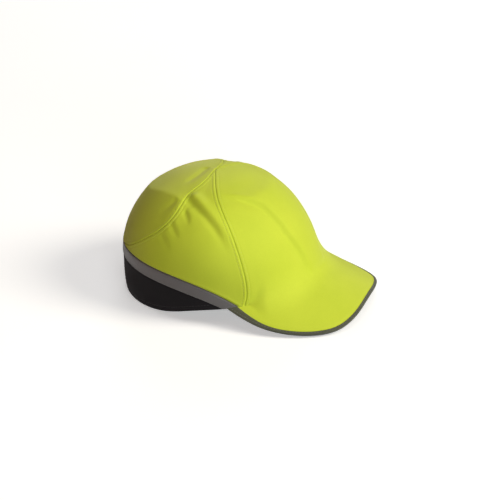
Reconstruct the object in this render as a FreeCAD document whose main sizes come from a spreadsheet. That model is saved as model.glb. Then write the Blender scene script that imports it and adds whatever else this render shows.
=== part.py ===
"""A bump cap: a fabric baseball-style cover over a vented plastic shell with foam pads.

The peak points along -Y, +Z is up, and the cap stands on its rear hem and the edge of its peak.
All curved pieces are layers of one crown form and one peak surface, set inwards step by step.
The crown's own axis is vertical; every piece is drawn about it and placed by its Placement.
"""
import FreeCAD, Part
import math
import os

Vector = FreeCAD.Vector

SIZES = {
    # crown form
    "CrownHeight": 132.0,
    "HalfWidth": 96.0,
    "FrontReach": 115.0,
    "RearReach": 108.5,
    "FrontFall": 150.0,
    "RearFall": 93.5,
    "SideFall": 84.5,
    "FrontPower": 2.1,
    "RearPower": 2.1,
    "SidePower": 2.2,
    "RearTuck": 1.7,
    "SideTuck": 4.0,
    "AxisOffset": 28.0,
    # layers, measured inwards from the crown form
    "CoverThickness": 1.2,
    "TapeTop": 1.4,
    "TapeThickness": 0.6,
    "ShellTop": 3.0,
    "ShellThickness": 1.6,
    "RibTop": 1.7,
    "PadTop": 4.8,
    "PadThickness": 5.0,
    "BandTop": 5.4,
    "BandThickness": 3.0,
    "LabelThickness": 0.4,
    "SeamGap": 0.1,
    # trim
    "StripeWidth": 14.0,
    "StripeProud": 0.25,
    "TapeHalfWidth": 6.0,
    "BandHeight": 30.0,
    "BandHem": 4.0,
    "BandEnd": 70.0,
    "ShellEdge": 44.0,
    "RibHalfWidth": 27.0,
    "HemDrop": 4.0,
    # peak
    "PeakRoot": 115.0,
    "PeakRootHeight": 34.4,
    "PeakSlope": 0.36,
    "PeakArch": 138.0,
    "PeakCornerDrop": 7.0,
    "PeakCornerStart": 40.0,
    "PeakCornerEnd": 100.0,
    "PeakCloth": 1.0,
    "PeakBoard": 1.6,
    "PeakGap": 0.1,
    "PeakClearance": 0.4,
    "ClothInset": 1.0,
    "BoardInset": 1.5,
    "BindingReach": 3.6,
    "BindingWall": 0.5,
    # rear arch and closing strap
    "ArchHalfWidth": 34.0,
    "ArchHeight": 36.0,
    "ArchBinding": 3.0,
    "ArchBindingEdge": 2.0,
    "ArchBindingWall": 0.6,
    "StrapRadius": 84.0,
    "StrapRear": 104.9,
    "StrapThickness": 1.2,
    "StrapHeight": 20.0,
    "StrapBottom": 6.0,
    "PatchThickness": 0.8,
    "PatchHeight": 18.0,
    "PatchGap": 0.1,
    "FastenerGap": 0.4,
    "HookStrapStart": -58.0,
    "FoldPlace": -8.0,
    "TabTip": 20.0,
    "LoopPatchStart": -24.0,
    "LoopPatchEnd": 28.0,
    "LoopStrapStart": -28.0,
    "LoopStrapTurn": 40.0,
    "LoopStrapEnd": 60.0,
    "SleeveStart": -56.0,
    "SleeveEnd": -41.0,
    "SleeveWall": 0.8,
    "SleeveClearance": 0.35,
}

doc = FreeCAD.newDocument("BumpCap")
sheet = doc.addObject("Spreadsheet::Sheet", "Sizes")
for row, (name, value) in enumerate(SIZES.items(), start=1):
    sheet.set(f"A{row}", name)
    sheet.set(f"B{row}", str(value))
    sheet.setAlias(f"B{row}", name)
doc.recompute()


def size(name):
    """A driving dimension, read from the spreadsheet."""
    return float(sheet.get(name))


# ---------------------------------------------------------------- crown form

CROWN_HEIGHT = size("CrownHeight")
CUT_MARGIN = 6.0
SECTION_POINTS = 24
SECTION_COUNT = 14
TOP_FLAT = 0.3
FAR = 260.0


def reach(depth, full, fall, power, tuck, inset):
    """How far the form reaches from its axis at a depth under its own top."""
    full -= inset
    fall -= inset
    if depth < fall:
        return full * (1 - (1 - depth / fall) ** power) ** (1 / power)
    return full - tuck * ((depth - fall) / (CROWN_HEIGHT - inset - fall)) ** 2


def section(height, inset):
    """Closed level curve of the crown form: a half ellipse in front and another behind."""
    depth = CROWN_HEIGHT - inset - height
    front = reach(depth, size("FrontReach"), size("FrontFall"), size("FrontPower"), 0.0, inset)
    rear = reach(depth, size("RearReach"), size("RearFall"), size("RearPower"), size("RearTuck"), inset)
    side = reach(depth, size("HalfWidth"), size("SideFall"), size("SidePower"), size("SideTuck"), inset)
    points = []
    for index in range(SECTION_POINTS):
        angle = 2 * math.pi * index / SECTION_POINTS
        along = front if math.cos(angle) > 0 else rear
        points.append(Vector(side * math.sin(angle), -along * math.cos(angle), height))
    curve = Part.BSplineCurve()
    steps = [float(step) for step in range(SECTION_POINTS + 1)]
    curve.interpolate(Points=points, PeriodicFlag=True, Parameters=steps)
    return curve


def make_form(inset, bottom):
    """Solid under the crown form moved inwards by inset, skinned over level sections."""
    total = CROWN_HEIGHT - inset - bottom
    turns = [math.acos(1 - TOP_FLAT / total)]
    turns += [math.pi / 2 * step / SECTION_COUNT for step in range(1, SECTION_COUNT + 1)]
    curves = [section(bottom + total * math.cos(turn), inset) for turn in turns]
    columns = []
    for poles in zip(*[curve.getPoles() for curve in curves]):
        column = Part.BSplineCurve()
        column.interpolate(Points=list(poles), Parameters=turns)
        columns.append(column)
    around, down = curves[0], columns[0]
    surface = Part.BSplineSurface()
    surface.buildFromPolesMultsKnots(
        [column.getPoles() for column in columns],
        around.getMultiplicities(), down.getMultiplicities(),
        around.getKnots(), down.getKnots(), True, False, 3, 3)
    ends = [Part.Face(Part.Wire(surface.vIso(turn).toShape())) for turn in (turns[0], turns[-1])]
    shell = Part.makeShell([surface.toShape()] + ends)
    shell.sewShape()
    solid = Part.Solid(shell)
    if solid.Volume < 0:
        solid.reverse()
    return solid


forms = {}


def form(inset, bottom=-CUT_MARGIN):
    """The crown form at one inset, made once and kept."""
    key = (round(inset, 3), bottom)
    if key not in forms:
        forms[key] = make_form(inset, bottom)
    return forms[key]


def layer(outer, inner):
    """Open-bottomed skin of the crown form between two insets."""
    return form(outer).cut(form(inner, -CUT_MARGIN - 2))


# ---------------------------------------------------------------- cutters

def smooth(points):
    """Edge through points on one smooth curve."""
    curve = Part.BSplineCurve()
    curve.interpolate(points)
    return curve.toShape()


def side_prism(curve, corners, half=FAR / 2):
    """Prism across the cap: a smooth curve in side view, closed through the corners."""
    points = [Vector(-half, y, z) for y, z in curve]
    corner_points = [Vector(-half, y, z) for y, z in corners]
    chain = [points[-1]] + corner_points + [points[0]]
    edges = [smooth(points)]
    edges += [Part.LineSegment(a, b).toShape() for a, b in zip(chain, chain[1:])]
    return Part.Face(Part.Wire(edges)).extrude(Vector(2 * half, 0, 0))


def box(low, high):
    """Box between two corners."""
    span = [b - a for a, b in zip(low, high)]
    return Part.makeBox(*span, Vector(*low))


def right_half(shape):
    """The part of a shape on the wearer's right."""
    return shape.common(box((-FAR, -FAR, -FAR), (-size("SeamGap"), FAR, FAR)))


def left_half(shape):
    """The part of a shape on the wearer's left."""
    return shape.common(box((size("SeamGap"), -FAR, -FAR), (FAR, FAR, FAR)))


def moved(points, along=0.0, up=0.0):
    """Side-view points moved forwards (-Y) and up."""
    return [(y - along, z + up) for y, z in points]


# Side-view lines, as (y, z) about the crown's axis; the peak lies towards -y.
FRONT_SEAM = [(8, 131.6), (-15, 121), (-35, 101), (-50, 75), (-57, 52), (-58, 32), (-52, 12)]
REAR_SEAM = [(8, 131.6), (15, 122), (22, 109), (36, 92), (58, 76), (92, 56), (118, 42)]
STRIPE_TOP = [(125, 54), (90, 54), (50, 53.5), (6, 49), (-31, 36.5), (-60, 17)]
RIM = [(125, 0), (70, 0), (31, 5.5), (-3, 15), (-40, 22), (-80, 29), (-125, 35)]
BELOW = -40
ABOVE = 180


def beside(curve, along, far):
    """Everything on one side of a seam line moved forwards, towards y = far."""
    line = moved(curve, along)
    foot, top = line[-1][0], line[0][0]
    return side_prism(line, [(foot, BELOW), (far, BELOW), (far, ABOVE), (top, ABOVE)])


def in_front_of(curve, along):
    """Everything in front of a seam line moved forwards."""
    return beside(curve, along, -FAR)


def behind(curve, along):
    """Everything behind a seam line moved forwards."""
    return beside(curve, along, FAR)


def above(curve, up):
    """Everything above a side-view line moved up."""
    raised = moved(curve, 0, up)
    first, last = raised[0], raised[-1]
    ends = [(last[0] - FAR, last[1]), (last[0] - FAR, ABOVE), (first[0] + FAR, ABOVE)]
    return side_prism(raised, ends + [(first[0] + FAR, first[1])])


def below(curve, up):
    """Everything below a side-view line moved up."""
    raised = moved(curve, 0, up)
    first, last = raised[0], raised[-1]
    ends = [(last[0] - FAR, last[1]), (last[0] - FAR, BELOW), (first[0] + FAR, BELOW)]
    return side_prism(raised, ends + [(first[0] + FAR, first[1])])


# ---------------------------------------------------------------- peak

# Half outline of the peak in plan, as (x, forward of the crown's axis).
PEAK_OUTLINE = [(88.5, 40), (92.3, 60), (93.2, 80), (90.5, 98),
                (84.5, 117), (75, 136), (61, 152), (39, 162)]
PEAK_TIP = 165.3
PEAK_HALF_SPAN = 104.0
PEAK_BACK = 24.0
PEAK_BACK_STEP = 30.0
PEAK_FRONT = 184.0
PEAK_STEPS = 10


def peak_height(x, forward):
    """Top of the peak over the table."""
    arch = size("PeakArch")
    drop = arch - math.sqrt(arch ** 2 - x ** 2)
    start, end = size("PeakCornerStart"), size("PeakCornerEnd")
    back = max(0.0, (end - forward) / (end - start))
    corner = size("PeakCornerDrop") * back ** 2 * (x / PEAK_OUTLINE[0][0]) ** 2
    return size("PeakRootHeight") - size("PeakSlope") * (forward - size("PeakRoot")) - drop - corner


def peak_face():
    """Top surface of the peak, larger than the peak all round."""
    across = [PEAK_HALF_SPAN * step / PEAK_STEPS for step in range(-PEAK_STEPS, PEAK_STEPS + 1)]
    depth = PEAK_FRONT - PEAK_BACK
    forward = [PEAK_BACK + depth * step / PEAK_STEPS for step in range(PEAK_STEPS + 1)]
    surface = Part.BSplineSurface()
    surface.interpolate([[Vector(x, -f, peak_height(x, f)) for f in forward] for x in across])
    return surface.toShape()


def peak_slab(top, thickness):
    """Slab that follows the peak's surface, from top downwards."""
    face = peak_face()
    face.translate(Vector(0, 0, top))
    return face.extrude(Vector(0, 0, -thickness))


def peak_plan(inset):
    """Upright prism with the peak's plan outline, moved inwards."""
    half = [(x - inset, forward - inset * forward / PEAK_TIP) for x, forward in PEAK_OUTLINE]
    tip = [(0.0, PEAK_TIP - inset)]
    outline = half + tip + [(-x, forward) for x, forward in reversed(half)]
    points = [Vector(x, -forward, BELOW) for x, forward in outline]
    back = half[0][0] - PEAK_BACK_STEP
    corners = [Vector(-back, -PEAK_BACK, BELOW), Vector(back, -PEAK_BACK, BELOW)]
    chain = [points[-1]] + corners + [points[0]]
    edges = [smooth(points)] + [Part.LineSegment(a, b).toShape() for a, b in zip(chain, chain[1:])]
    return Part.Face(Part.Wire(edges)).extrude(Vector(0, 0, ABOVE - BELOW))


# ---------------------------------------------------------------- sub-parts

nodes = []


def place(item):
    """Moves a sub-part from the crown's axis to the model's origin and lists it."""
    base = Vector(0, size("AxisOffset"), 0)
    item.Placement = FreeCAD.Placement(base, FreeCAD.Rotation()).multiply(item.Placement)
    nodes.append(item)


def keep(label, shape):
    """Makes one sub-part from a finished shape."""
    solids = shape.Solids
    if len(solids) > 1:
        solids = [max(solids, key=lambda solid: solid.Volume)]
    item = doc.addObject("Part::Feature", label)
    item.Label = label
    item.Shape = solids[0]
    place(item)


def make_cover():
    """The yellow panels, the black panels and the stripe between them."""
    gap = size("SeamGap")
    cover = layer(0.0, size("CoverThickness"))
    stripe_low = -size("StripeWidth")
    upper = cover.common(above(STRIPE_TOP, gap))
    sides = upper.common(behind(FRONT_SEAM, -gap)).common(in_front_of(REAR_SEAM, gap))
    keep("side_panel_right", right_half(sides))
    keep("side_panel_left", left_half(sides))
    keep("rear_top_panel", upper.common(behind(REAR_SEAM, -gap)))

    front = cover.common(in_front_of(FRONT_SEAM, gap)).common(above(RIM, -size("HemDrop")))
    sheet_top = peak_slab(0.0, size("PeakCloth")).common(peak_plan(size("ClothInset")))
    outside = sheet_top.cut(form(-size("PeakClearance")))
    joined = sheet_top.common(in_front_of(FRONT_SEAM, gap)).cut(form(size("CoverThickness") / 2))
    keep("front_panel", front.fuse([outside, joined]))

    stripe = layer(-size("StripeProud"), size("CoverThickness"))
    stripe = stripe.common(below(STRIPE_TOP, -gap)).common(above(STRIPE_TOP, stripe_low))
    stripe = stripe.common(above(RIM, 0.0)).common(behind(FRONT_SEAM, -gap))
    keep("reflective_stripe", stripe)

    lower = cover.common(below(STRIPE_TOP, stripe_low - gap)).common(above(RIM, 0.0))
    lower = lower.common(box((-FAR, -FAR, 0), (FAR, FAR, ABOVE)))
    lower = lower.cut(arch_prism(0.0))
    keep("rear_lower_panel_right", right_half(lower))
    keep("rear_lower_panel_left", left_half(lower))


def arch_prism(inset):
    """Half-elliptical prism along Y, the shape of the opening at the back."""
    wide, tall = size("ArchHalfWidth") - inset, size("ArchHeight") - inset
    ellipse = Part.Ellipse(Vector(0, 0, 0), tall, wide)
    edge = ellipse.toShape()
    edge.rotate(Vector(0, 0, 0), Vector(0, 0, 1), 90)
    edge.rotate(Vector(0, 0, 0), Vector(1, 0, 0), 90)
    return Part.Face(Part.Wire(edge)).extrude(Vector(0, FAR, 0))


def make_arch_binding():
    """Tape folded over the edge of the arch opening."""
    wall, gap, thickness = size("ArchBindingWall"), size("SeamGap"), size("CoverThickness")
    tape = layer(-wall - gap, thickness + wall + gap)
    ring = arch_prism(-size("ArchBinding")).cut(arch_prism(size("ArchBindingEdge")))
    slot = layer(-gap, thickness + gap).cut(arch_prism(gap))
    tape = tape.common(ring).cut(slot)
    keep("arch_binding", tape.common(box((-FAR, 0, 0), (FAR, FAR, FAR))))


# Heights between which the seam tapes run.
FRONT_TAPE_LOW = 34.0
REAR_TAPE_LOW = 57.0
TAPE_HIGH = 121.0


def make_seam_tapes():
    """Tapes over the allowances of the four sewn seams."""
    half = size("TapeHalfWidth")
    top = size("TapeTop")
    skin = layer(top, top + size("TapeThickness"))
    for name, seam, low in (("front", FRONT_SEAM, FRONT_TAPE_LOW), ("rear", REAR_SEAM, REAR_TAPE_LOW)):
        tape = skin.common(in_front_of(seam, -half)).common(behind(seam, half))
        tape = tape.common(box((-FAR, -FAR, low), (FAR, FAR, TAPE_HIGH)))
        keep(name + "_seam_tape_right", right_half(tape))
        keep(name + "_seam_tape_left", left_half(tape))


def make_peak():
    """Board, under cloth and edge binding of the peak."""
    cloth, board, gap = size("PeakCloth"), size("PeakBoard"), size("PeakGap")
    clear = form(-size("PeakClearance"))
    board_top = -cloth - gap
    under_top = board_top - board - gap
    keep("peak_board", peak_slab(board_top, board).common(peak_plan(size("BoardInset"))).cut(clear))
    keep("peak_under_cloth", peak_slab(under_top, cloth).common(peak_plan(size("ClothInset"))).cut(clear))
    wall = size("BindingWall")
    top = wall + gap
    bottom = under_top - cloth - gap - wall
    tape = peak_slab(top, top - bottom).common(peak_plan(0.0)).cut(peak_plan(size("BindingReach")))
    inside = peak_slab(gap, gap - bottom - wall).common(peak_plan(size("ClothInset") - gap))
    tape = tape.cut(inside).cut(clear)
    keep("peak_binding", tape.common(box((-FAR, -FAR, -FAR), (FAR, -size("PeakCornerStart"), FAR))))


# ---- shell, pads and sweatband

# Vent slots of the shell in plan, as (x, y, half length along y).
VENT_SLOTS = [(0, 12, 14), (26, 8, 14), (-26, 8, 14), (50, 10, 12), (-50, 10, 12),
              (40, -42, 11), (-40, -42, 11), (34, 58, 10), (-34, 58, 10)]
VENT_HALF_WIDTH = 4.0
# Lower and rear ends of the raised rib.
RIB_LOW = 52.0
RIB_BACK = -18.0


def slot_prism(x, y, half_length):
    """Upright prism of one round-ended vent slot."""
    straight = half_length - VENT_HALF_WIDTH
    bar = box((x - VENT_HALF_WIDTH, y - straight, 0), (x + VENT_HALF_WIDTH, y + straight, ABOVE))
    ends = [Vector(x, y + end, 0) for end in (-straight, straight)]
    return bar.fuse([Part.makeCylinder(VENT_HALF_WIDTH, ABOVE, end) for end in ends])


def make_shell():
    """Moulded impact shell with vent slots and a raised rib over the forehead."""
    top = size("ShellTop")
    edge = size("ShellEdge")
    shell = layer(top, top + size("ShellThickness"))
    shell = shell.common(box((-FAR, -FAR, edge), (FAR, FAR, FAR)))
    half = size("RibHalfWidth")
    rib = layer(size("RibTop"), top + size("ShellThickness") / 4)
    rib = rib.common(box((-half, -FAR, RIB_LOW), (half, RIB_BACK, FAR)))
    shell = shell.fuse(rib)
    for slot in VENT_SLOTS:
        shell = shell.cut(slot_prism(*slot))
    keep("impact_shell", shell)


# Boxes about the crown's axis that each pad is cut from: low corner and high corner.
PADS = {
    "front_pad": ((-44, -130, 67), (44, -40, 104)),
    "rear_pad": ((-40, 45, 50), (40, 130, 98)),
    "side_pad_right": ((-110, -34, 52), (-45, 36, 98)),
    "side_pad_left": ((45, -34, 52), (110, 36, 98)),
    "crown_pad": ((-34, -38, 110), (34, 38, 140)),
}


def make_pads():
    """Foam pads against the inside of the shell."""
    top = size("PadTop")
    skin = layer(top, top + size("PadThickness"))
    for name, corners in PADS.items():
        keep(name, skin.common(box(*corners)))


# Box that the size label is cut from, on the wearer's left.
LABEL_BOX = ((50, 20, 16), (FAR, 52, 28))


def make_sweatband():
    """Towelling band round the brow, with its hem at the rim, and a blank label on it."""
    top, thickness = size("BandTop"), size("BandThickness")
    open_back = box((-size("BandEnd"), 0, -CUT_MARGIN), (size("BandEnd"), FAR, FAR))
    over_rim = above(RIM, size("PeakClearance"))
    band = layer(top, top + thickness).common(over_rim).common(below(RIM, size("BandHeight")))
    hem = layer(size("TapeTop"), top + thickness).common(over_rim).common(below(RIM, size("BandHem")))
    keep("sweatband", band.fuse(hem).cut(open_back))
    face = top + thickness + size("SeamGap")
    label = layer(face, face + size("LabelThickness"))
    keep("size_label", label.common(box(*LABEL_BOX)))


# ---- closing strap

def curved_strip(label, radius_top, thickness, bottom, tall, start, end):
    """Upright strip along the strap's arc, from two cylinders that follow the sheet.

    Angles are in degrees from straight back, positive towards the wearer's left.
    """
    cylinders = []
    for role, radius in (("outer", radius_top), ("inner", f"{radius_top} - ({thickness})")):
        cylinder = doc.addObject("Part::Cylinder", f"{label}_{role}")
        cylinder.setExpression("Radius", radius)
        cylinder.setExpression("Height", tall)
        cylinder.Angle = end - start
        cylinders.append(cylinder)
    strip = doc.addObject("Part::Cut", label)
    strip.Base, strip.Tool = cylinders
    strip.Label = label
    base = Vector(0, size("StrapRear") - size("StrapRadius"), bottom)
    strip.Placement = FreeCAD.Placement(base, FreeCAD.Rotation(Vector(0, 0, 1), 90 - end))
    return strip


def strap_angle(name):
    """Angle along the strap's arc of a named distance from the cap's middle."""
    return math.degrees(math.asin(size(name) / size("StrapRadius")))


# Half the gap at the fold, and how far the hook patch stays inside the tab, in degrees.
FOLD_HALF_GAP = 0.12
PATCH_MARGIN = 0.8


def make_strap():
    """Hook-and-loop closing strap across the arch opening."""
    bottom = size("StrapBottom")
    patch_bottom = bottom + (size("StrapHeight") - size("PatchHeight")) / 2
    webbing = ("Sizes.StrapThickness", bottom, "Sizes.StrapHeight")
    tape = ("Sizes.PatchThickness", patch_bottom, "Sizes.PatchHeight")
    hook_top = "Sizes.StrapRadius - Sizes.StrapThickness - Sizes.PatchGap"
    loop_top = f"{hook_top} - Sizes.PatchThickness - Sizes.FastenerGap"
    strap_top = f"{loop_top} - Sizes.PatchThickness - Sizes.PatchGap"
    fold, tip = strap_angle("FoldPlace"), strap_angle("TabTip")
    turn, end = strap_angle("LoopStrapTurn"), strap_angle("LoopStrapEnd")
    place(curved_strip("hook_strap", "Sizes.StrapRadius", *webbing,
                       strap_angle("HookStrapStart"), fold - FOLD_HALF_GAP))
    place(curved_strip("strap_tab", "Sizes.StrapRadius", *webbing, fold + FOLD_HALF_GAP, tip))
    place(curved_strip("hook_patch", hook_top, *tape, fold + PATCH_MARGIN, tip - PATCH_MARGIN))
    place(curved_strip("loop_patch", loop_top, *tape,
                       strap_angle("LoopPatchStart"), strap_angle("LoopPatchEnd")))
    strap = curved_strip("loop_strap_band", strap_top, *webbing, strap_angle("LoopStrapStart"), end)
    fold_back = curved_strip("loop_strap_end", "Sizes.StrapRadius",
                             f"Sizes.StrapRadius - ({strap_top}) + Sizes.StrapThickness / 2",
                             bottom, "Sizes.StrapHeight", turn, end)
    joined = doc.addObject("Part::Fuse", "loop_strap")
    joined.Base, joined.Tool = strap, fold_back
    place(joined)
    make_strap_sleeve()


def make_strap_sleeve():
    """Sleeve sewn inside the right panel, which the hook strap slides in."""
    clear, wall = size("SleeveClearance"), size("SleeveWall")
    radius = size("StrapRadius") - size("StrapThickness") - clear
    low = size("StrapBottom") - clear
    tall = size("StrapHeight") + 2 * clear
    flange = 3 * wall
    start, end = strap_angle("SleeveStart"), strap_angle("SleeveEnd")
    middle = size("StrapRear") - size("StrapRadius")
    base = Vector(0, middle, low - flange)
    up = Vector(0, 0, 1)
    sleeve = Part.makeCylinder(size("StrapRadius") + wall, tall + 2 * flange, base, up, end - start)
    sleeve = sleeve.cut(Part.makeCylinder(radius - wall, tall + 2 * flange, base))
    sleeve.rotate(Vector(0, middle, 0), up, 90 - end)
    channel_base = Vector(0, middle, low)
    channel = Part.makeCylinder(size("StrapRadius") + flange, tall, channel_base)
    channel = channel.cut(Part.makeCylinder(radius, tall, channel_base))
    skin = form(size("CoverThickness") + 2 * size("SeamGap"))
    keep("strap_sleeve", sleeve.cut(channel).common(skin))


make_cover()
make_arch_binding()
make_seam_tapes()
make_peak()
make_shell()
make_pads()
make_sweatband()
make_strap()

doc.recompute()

for item in doc.Objects:
    if "Invalid" in item.State or "Error" in item.State:
        raise RuntimeError(f"{item.Label} failed: {item.State}")
for node in nodes:
    if node.Shape.isNull() or not node.Shape.isValid():
        raise RuntimeError(f"{node.Label} has no valid shape")

os.makedirs("parts", exist_ok=True)
for node in nodes:
    node.Shape.exportStep(f"parts/{node.Label}.step")
    bounds = node.Shape.optimalBoundingBox()
    print(f"{node.Label:24s} {len(node.Shape.Solids)} {node.Shape.Volume:10.1f} mm3,"
          f" z {bounds.ZMin:7.2f} to {bounds.ZMax:7.2f}, y {bounds.YMin:8.2f} to {bounds.YMax:8.2f}")
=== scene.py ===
"""Looks of a hi-vis bump cap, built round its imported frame.

Shapes are worked out in millimetres about the crown's vertical axis: +x is the wearer's left,
-y is forwards, towards the peak, and z is up from the table. build() turns them into metres.
The crown is drawn from its plan: a plan point's distance from the middle says how far down the
form it lies, and its direction says on which side.
"""
import math

import bmesh
import bpy
import numpy as np
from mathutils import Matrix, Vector


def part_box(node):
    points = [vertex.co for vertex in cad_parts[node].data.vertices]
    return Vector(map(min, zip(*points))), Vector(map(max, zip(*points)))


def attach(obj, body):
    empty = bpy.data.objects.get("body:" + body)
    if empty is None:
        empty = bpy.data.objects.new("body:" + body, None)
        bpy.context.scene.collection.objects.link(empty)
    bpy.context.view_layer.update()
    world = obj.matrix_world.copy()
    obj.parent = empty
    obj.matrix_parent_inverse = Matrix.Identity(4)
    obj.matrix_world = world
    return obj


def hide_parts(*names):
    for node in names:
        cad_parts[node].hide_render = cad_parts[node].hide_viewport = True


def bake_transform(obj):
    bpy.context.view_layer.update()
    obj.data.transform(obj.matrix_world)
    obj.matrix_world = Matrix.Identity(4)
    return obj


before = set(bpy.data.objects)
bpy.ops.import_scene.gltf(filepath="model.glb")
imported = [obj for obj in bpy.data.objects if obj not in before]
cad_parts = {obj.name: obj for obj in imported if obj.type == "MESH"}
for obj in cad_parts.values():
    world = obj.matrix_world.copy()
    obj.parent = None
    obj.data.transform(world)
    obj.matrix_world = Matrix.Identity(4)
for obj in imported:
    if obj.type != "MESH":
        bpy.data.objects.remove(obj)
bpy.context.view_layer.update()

MM = 0.001
CROWN_HEIGHT = 132.0
AXIS_Y = 28.0
ROOT_BODY = "cap"

# ---------------------------------------------------------------- crown form

# Each side of the form: its full reach, the depth where it gets there, how square its shoulder
# is, and how far it draws in again below that depth.
FRONT = dict(full=115.0, fall=150.0, power=2.1, tuck=0.0)
REAR = dict(full=108.5, fall=93.5, power=2.1, tuck=1.7)
SIDE = dict(full=96.0, fall=84.5, power=2.2, tuck=4.0)


def reach(depth, full, fall, power, tuck):
    """How far the form reaches from its axis at a depth under its top."""
    left = np.clip(1 - depth / fall, 0, 1)
    rise = full * (1 - left ** power) ** (1 / power)
    drop = full - tuck * (np.maximum(0, depth - fall) / (CROWN_HEIGHT - fall)) ** 2
    return np.where(depth < fall, rise, drop)


def level(turn, z):
    """Point of the form at a height, turned from straight forwards towards the wearer's left."""
    depth = CROWN_HEIGHT - z
    along = np.where(np.cos(turn) > 0, reach(depth, **FRONT), reach(depth, **REAR))
    return np.stack([reach(depth, **SIDE) * np.sin(turn), -along * np.cos(turn), z + 0 * turn], -1)


def plan_of(turn, z):
    """Plan point of the form's point at a turn and height."""
    far = np.arccos(np.clip(z / CROWN_HEIGHT, -1, 1)) * 2 / math.pi
    return np.stack([far * np.sin(turn), -far * np.cos(turn)], -1)


def crown(plan):
    """Point of the form over a plan point."""
    far = np.hypot(plan[..., 0], plan[..., 1])
    turn = np.arctan2(plan[..., 0], -plan[..., 1])
    return level(turn, CROWN_HEIGHT * np.cos(far * math.pi / 2))


def unit(vectors):
    """Vectors brought to length 1."""
    return vectors / np.maximum(np.linalg.norm(vectors, axis=-1, keepdims=True), 1e-9)


def slopes(plan):
    """How the form's point moves along each plan direction."""
    step = 1e-3
    right, ahead = np.array([step, 0]), np.array([0, step])
    return [(crown(plan + move) - crown(plan - move)) / (2 * step) for move in (right, ahead)]


def crown_normal(plan):
    """Outward direction of the form over a plan point."""
    return unit(np.cross(*slopes(plan)))


def shifted(plan, direction, distance):
    """Plan points moved over the form by a distance along a direction in space."""
    first, second = slopes(plan)
    a, b, c = (first * first).sum(-1), (first * second).sum(-1), (second * second).sum(-1)
    want = direction * distance
    one, two = (first * want).sum(-1), (second * want).sum(-1)
    scale = a * c - b * b
    return plan + np.stack([(c * one - b * two) / scale, (a * two - b * one) / scale], -1)


# ---------------------------------------------------------------- curves

def lengths(points):
    """Distance along a line at each of its points."""
    steps = np.linalg.norm(np.diff(points, axis=0), axis=1)
    return np.concatenate([[0.0], np.cumsum(steps)])


def along(points, shares):
    """Points at shares of a line's length."""
    far = lengths(points)
    return np.stack([np.interp(shares * far[-1], far, column) for column in points.T], -1)


def spline(points, count=160):
    """Evenly spaced points on the smooth curve through a few."""
    points = np.array(points, float)
    knots = lengths(points)
    gaps, size = np.diff(knots), len(knots)
    matrix, right = np.eye(size), np.zeros_like(points)
    for i in range(1, size - 1):
        matrix[i, i - 1:i + 2] = gaps[i - 1], 2 * (gaps[i - 1] + gaps[i]), gaps[i]
        after = (points[i + 1] - points[i]) / gaps[i]
        right[i] = 6 * (after - (points[i] - points[i - 1]) / gaps[i - 1])
    bend = np.linalg.solve(matrix, right)
    places = np.linspace(0, knots[-1], 8 * count)
    i = np.clip(np.searchsorted(knots, places, side="right") - 1, 0, size - 2)
    gap = gaps[i][:, None]
    b = ((places - knots[i]) / gaps[i])[:, None]
    a = 1 - b
    curved = ((a ** 3 - a) * bend[i] + (b ** 3 - b) * bend[i + 1]) * gap ** 2 / 6
    fine = a * points[i] + b * points[i + 1] + curved
    return along(fine, np.linspace(0, 1, count))


def eased(count, close=0.65):
    """Shares from 0 to 1 that lie closer together near both ends."""
    even = np.linspace(-1, 1, count)
    return ((1 - close) * even + close * np.sin(even * math.pi / 2) + 1) / 2


def smooth_step(value):
    """0 to 1, level at both ends."""
    value = np.clip(value, 0, 1)
    return value * value * (3 - 2 * value)


def profile(distance, pairs):
    """Height at a distance along a profile of (distance, height) pairs."""
    return np.interp(distance, *zip(*pairs))


def nearest(points, line):
    """Distance from each point to a line, and which of the line's points is nearest."""
    flat = points.reshape(-1, 3)
    which = ((flat[:, None, :] - line[None]) ** 2).sum(2).argmin(1)
    found = np.full(len(flat), np.inf)
    for step in (-1, 0):
        first = np.clip(which + step, 0, len(line) - 2)
        span = line[first + 1] - line[first]
        share = ((flat - line[first]) * span).sum(1) / (span * span).sum(1)
        foot = line[first] + span * np.clip(share, 0, 1)[:, None]
        found = np.minimum(found, np.linalg.norm(flat - foot, axis=1))
    return found.reshape(points.shape[:-1]), which.reshape(points.shape[:-1])


# Side-view lines, as (y, z); each seam leaves the middle of the top.
SEAM_TOP = 7.5
FRONT_SEAM = [(-15, 121.5), (-35, 101.5), (-50, 75), (-57, 52), (-58, 32), (-54, 18)]
REAR_SEAM = [(10, 128.6), (18, 121.5), (22, 110), (34, 95), (55, 78.5), (84, 58.5), (97, 53)]
STRIPE_TOP = [(125, 54), (90, 54), (50, 53.5), (6, 49), (-31, 36.5), (-60, 17)]
RIM = [(125, 0), (70, 0), (31, 4.7), (-3, 14.2), (-40, 21), (-80, 27), (-125, 33)]
STRIPE_WIDTH = 14.0


def height_line(points):
    """A side-view line as heights to look up by y."""
    line = spline(points[::-1])
    return lambda y: np.interp(y, line[:, 0], line[:, 1])


stripe_height = height_line(STRIPE_TOP)
rim_height = height_line(RIM)


def settle(turn, height_at):
    """Heights at which the form meets a surface given as height_at(point)."""
    z = np.full_like(turn, 30.0)
    for _ in range(40):
        z = 0.5 * z + 0.5 * height_at(level(turn, z))
    return z


def stripe_top(turn):
    """Height of the stripe's upper edge."""
    return settle(turn, lambda point: stripe_height(point[..., 1]))


def rim(turn):
    """Height of the cap's lower edge, never under the table."""
    return np.maximum(0.0, settle(turn, lambda point: rim_height(point[..., 1])))


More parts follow.
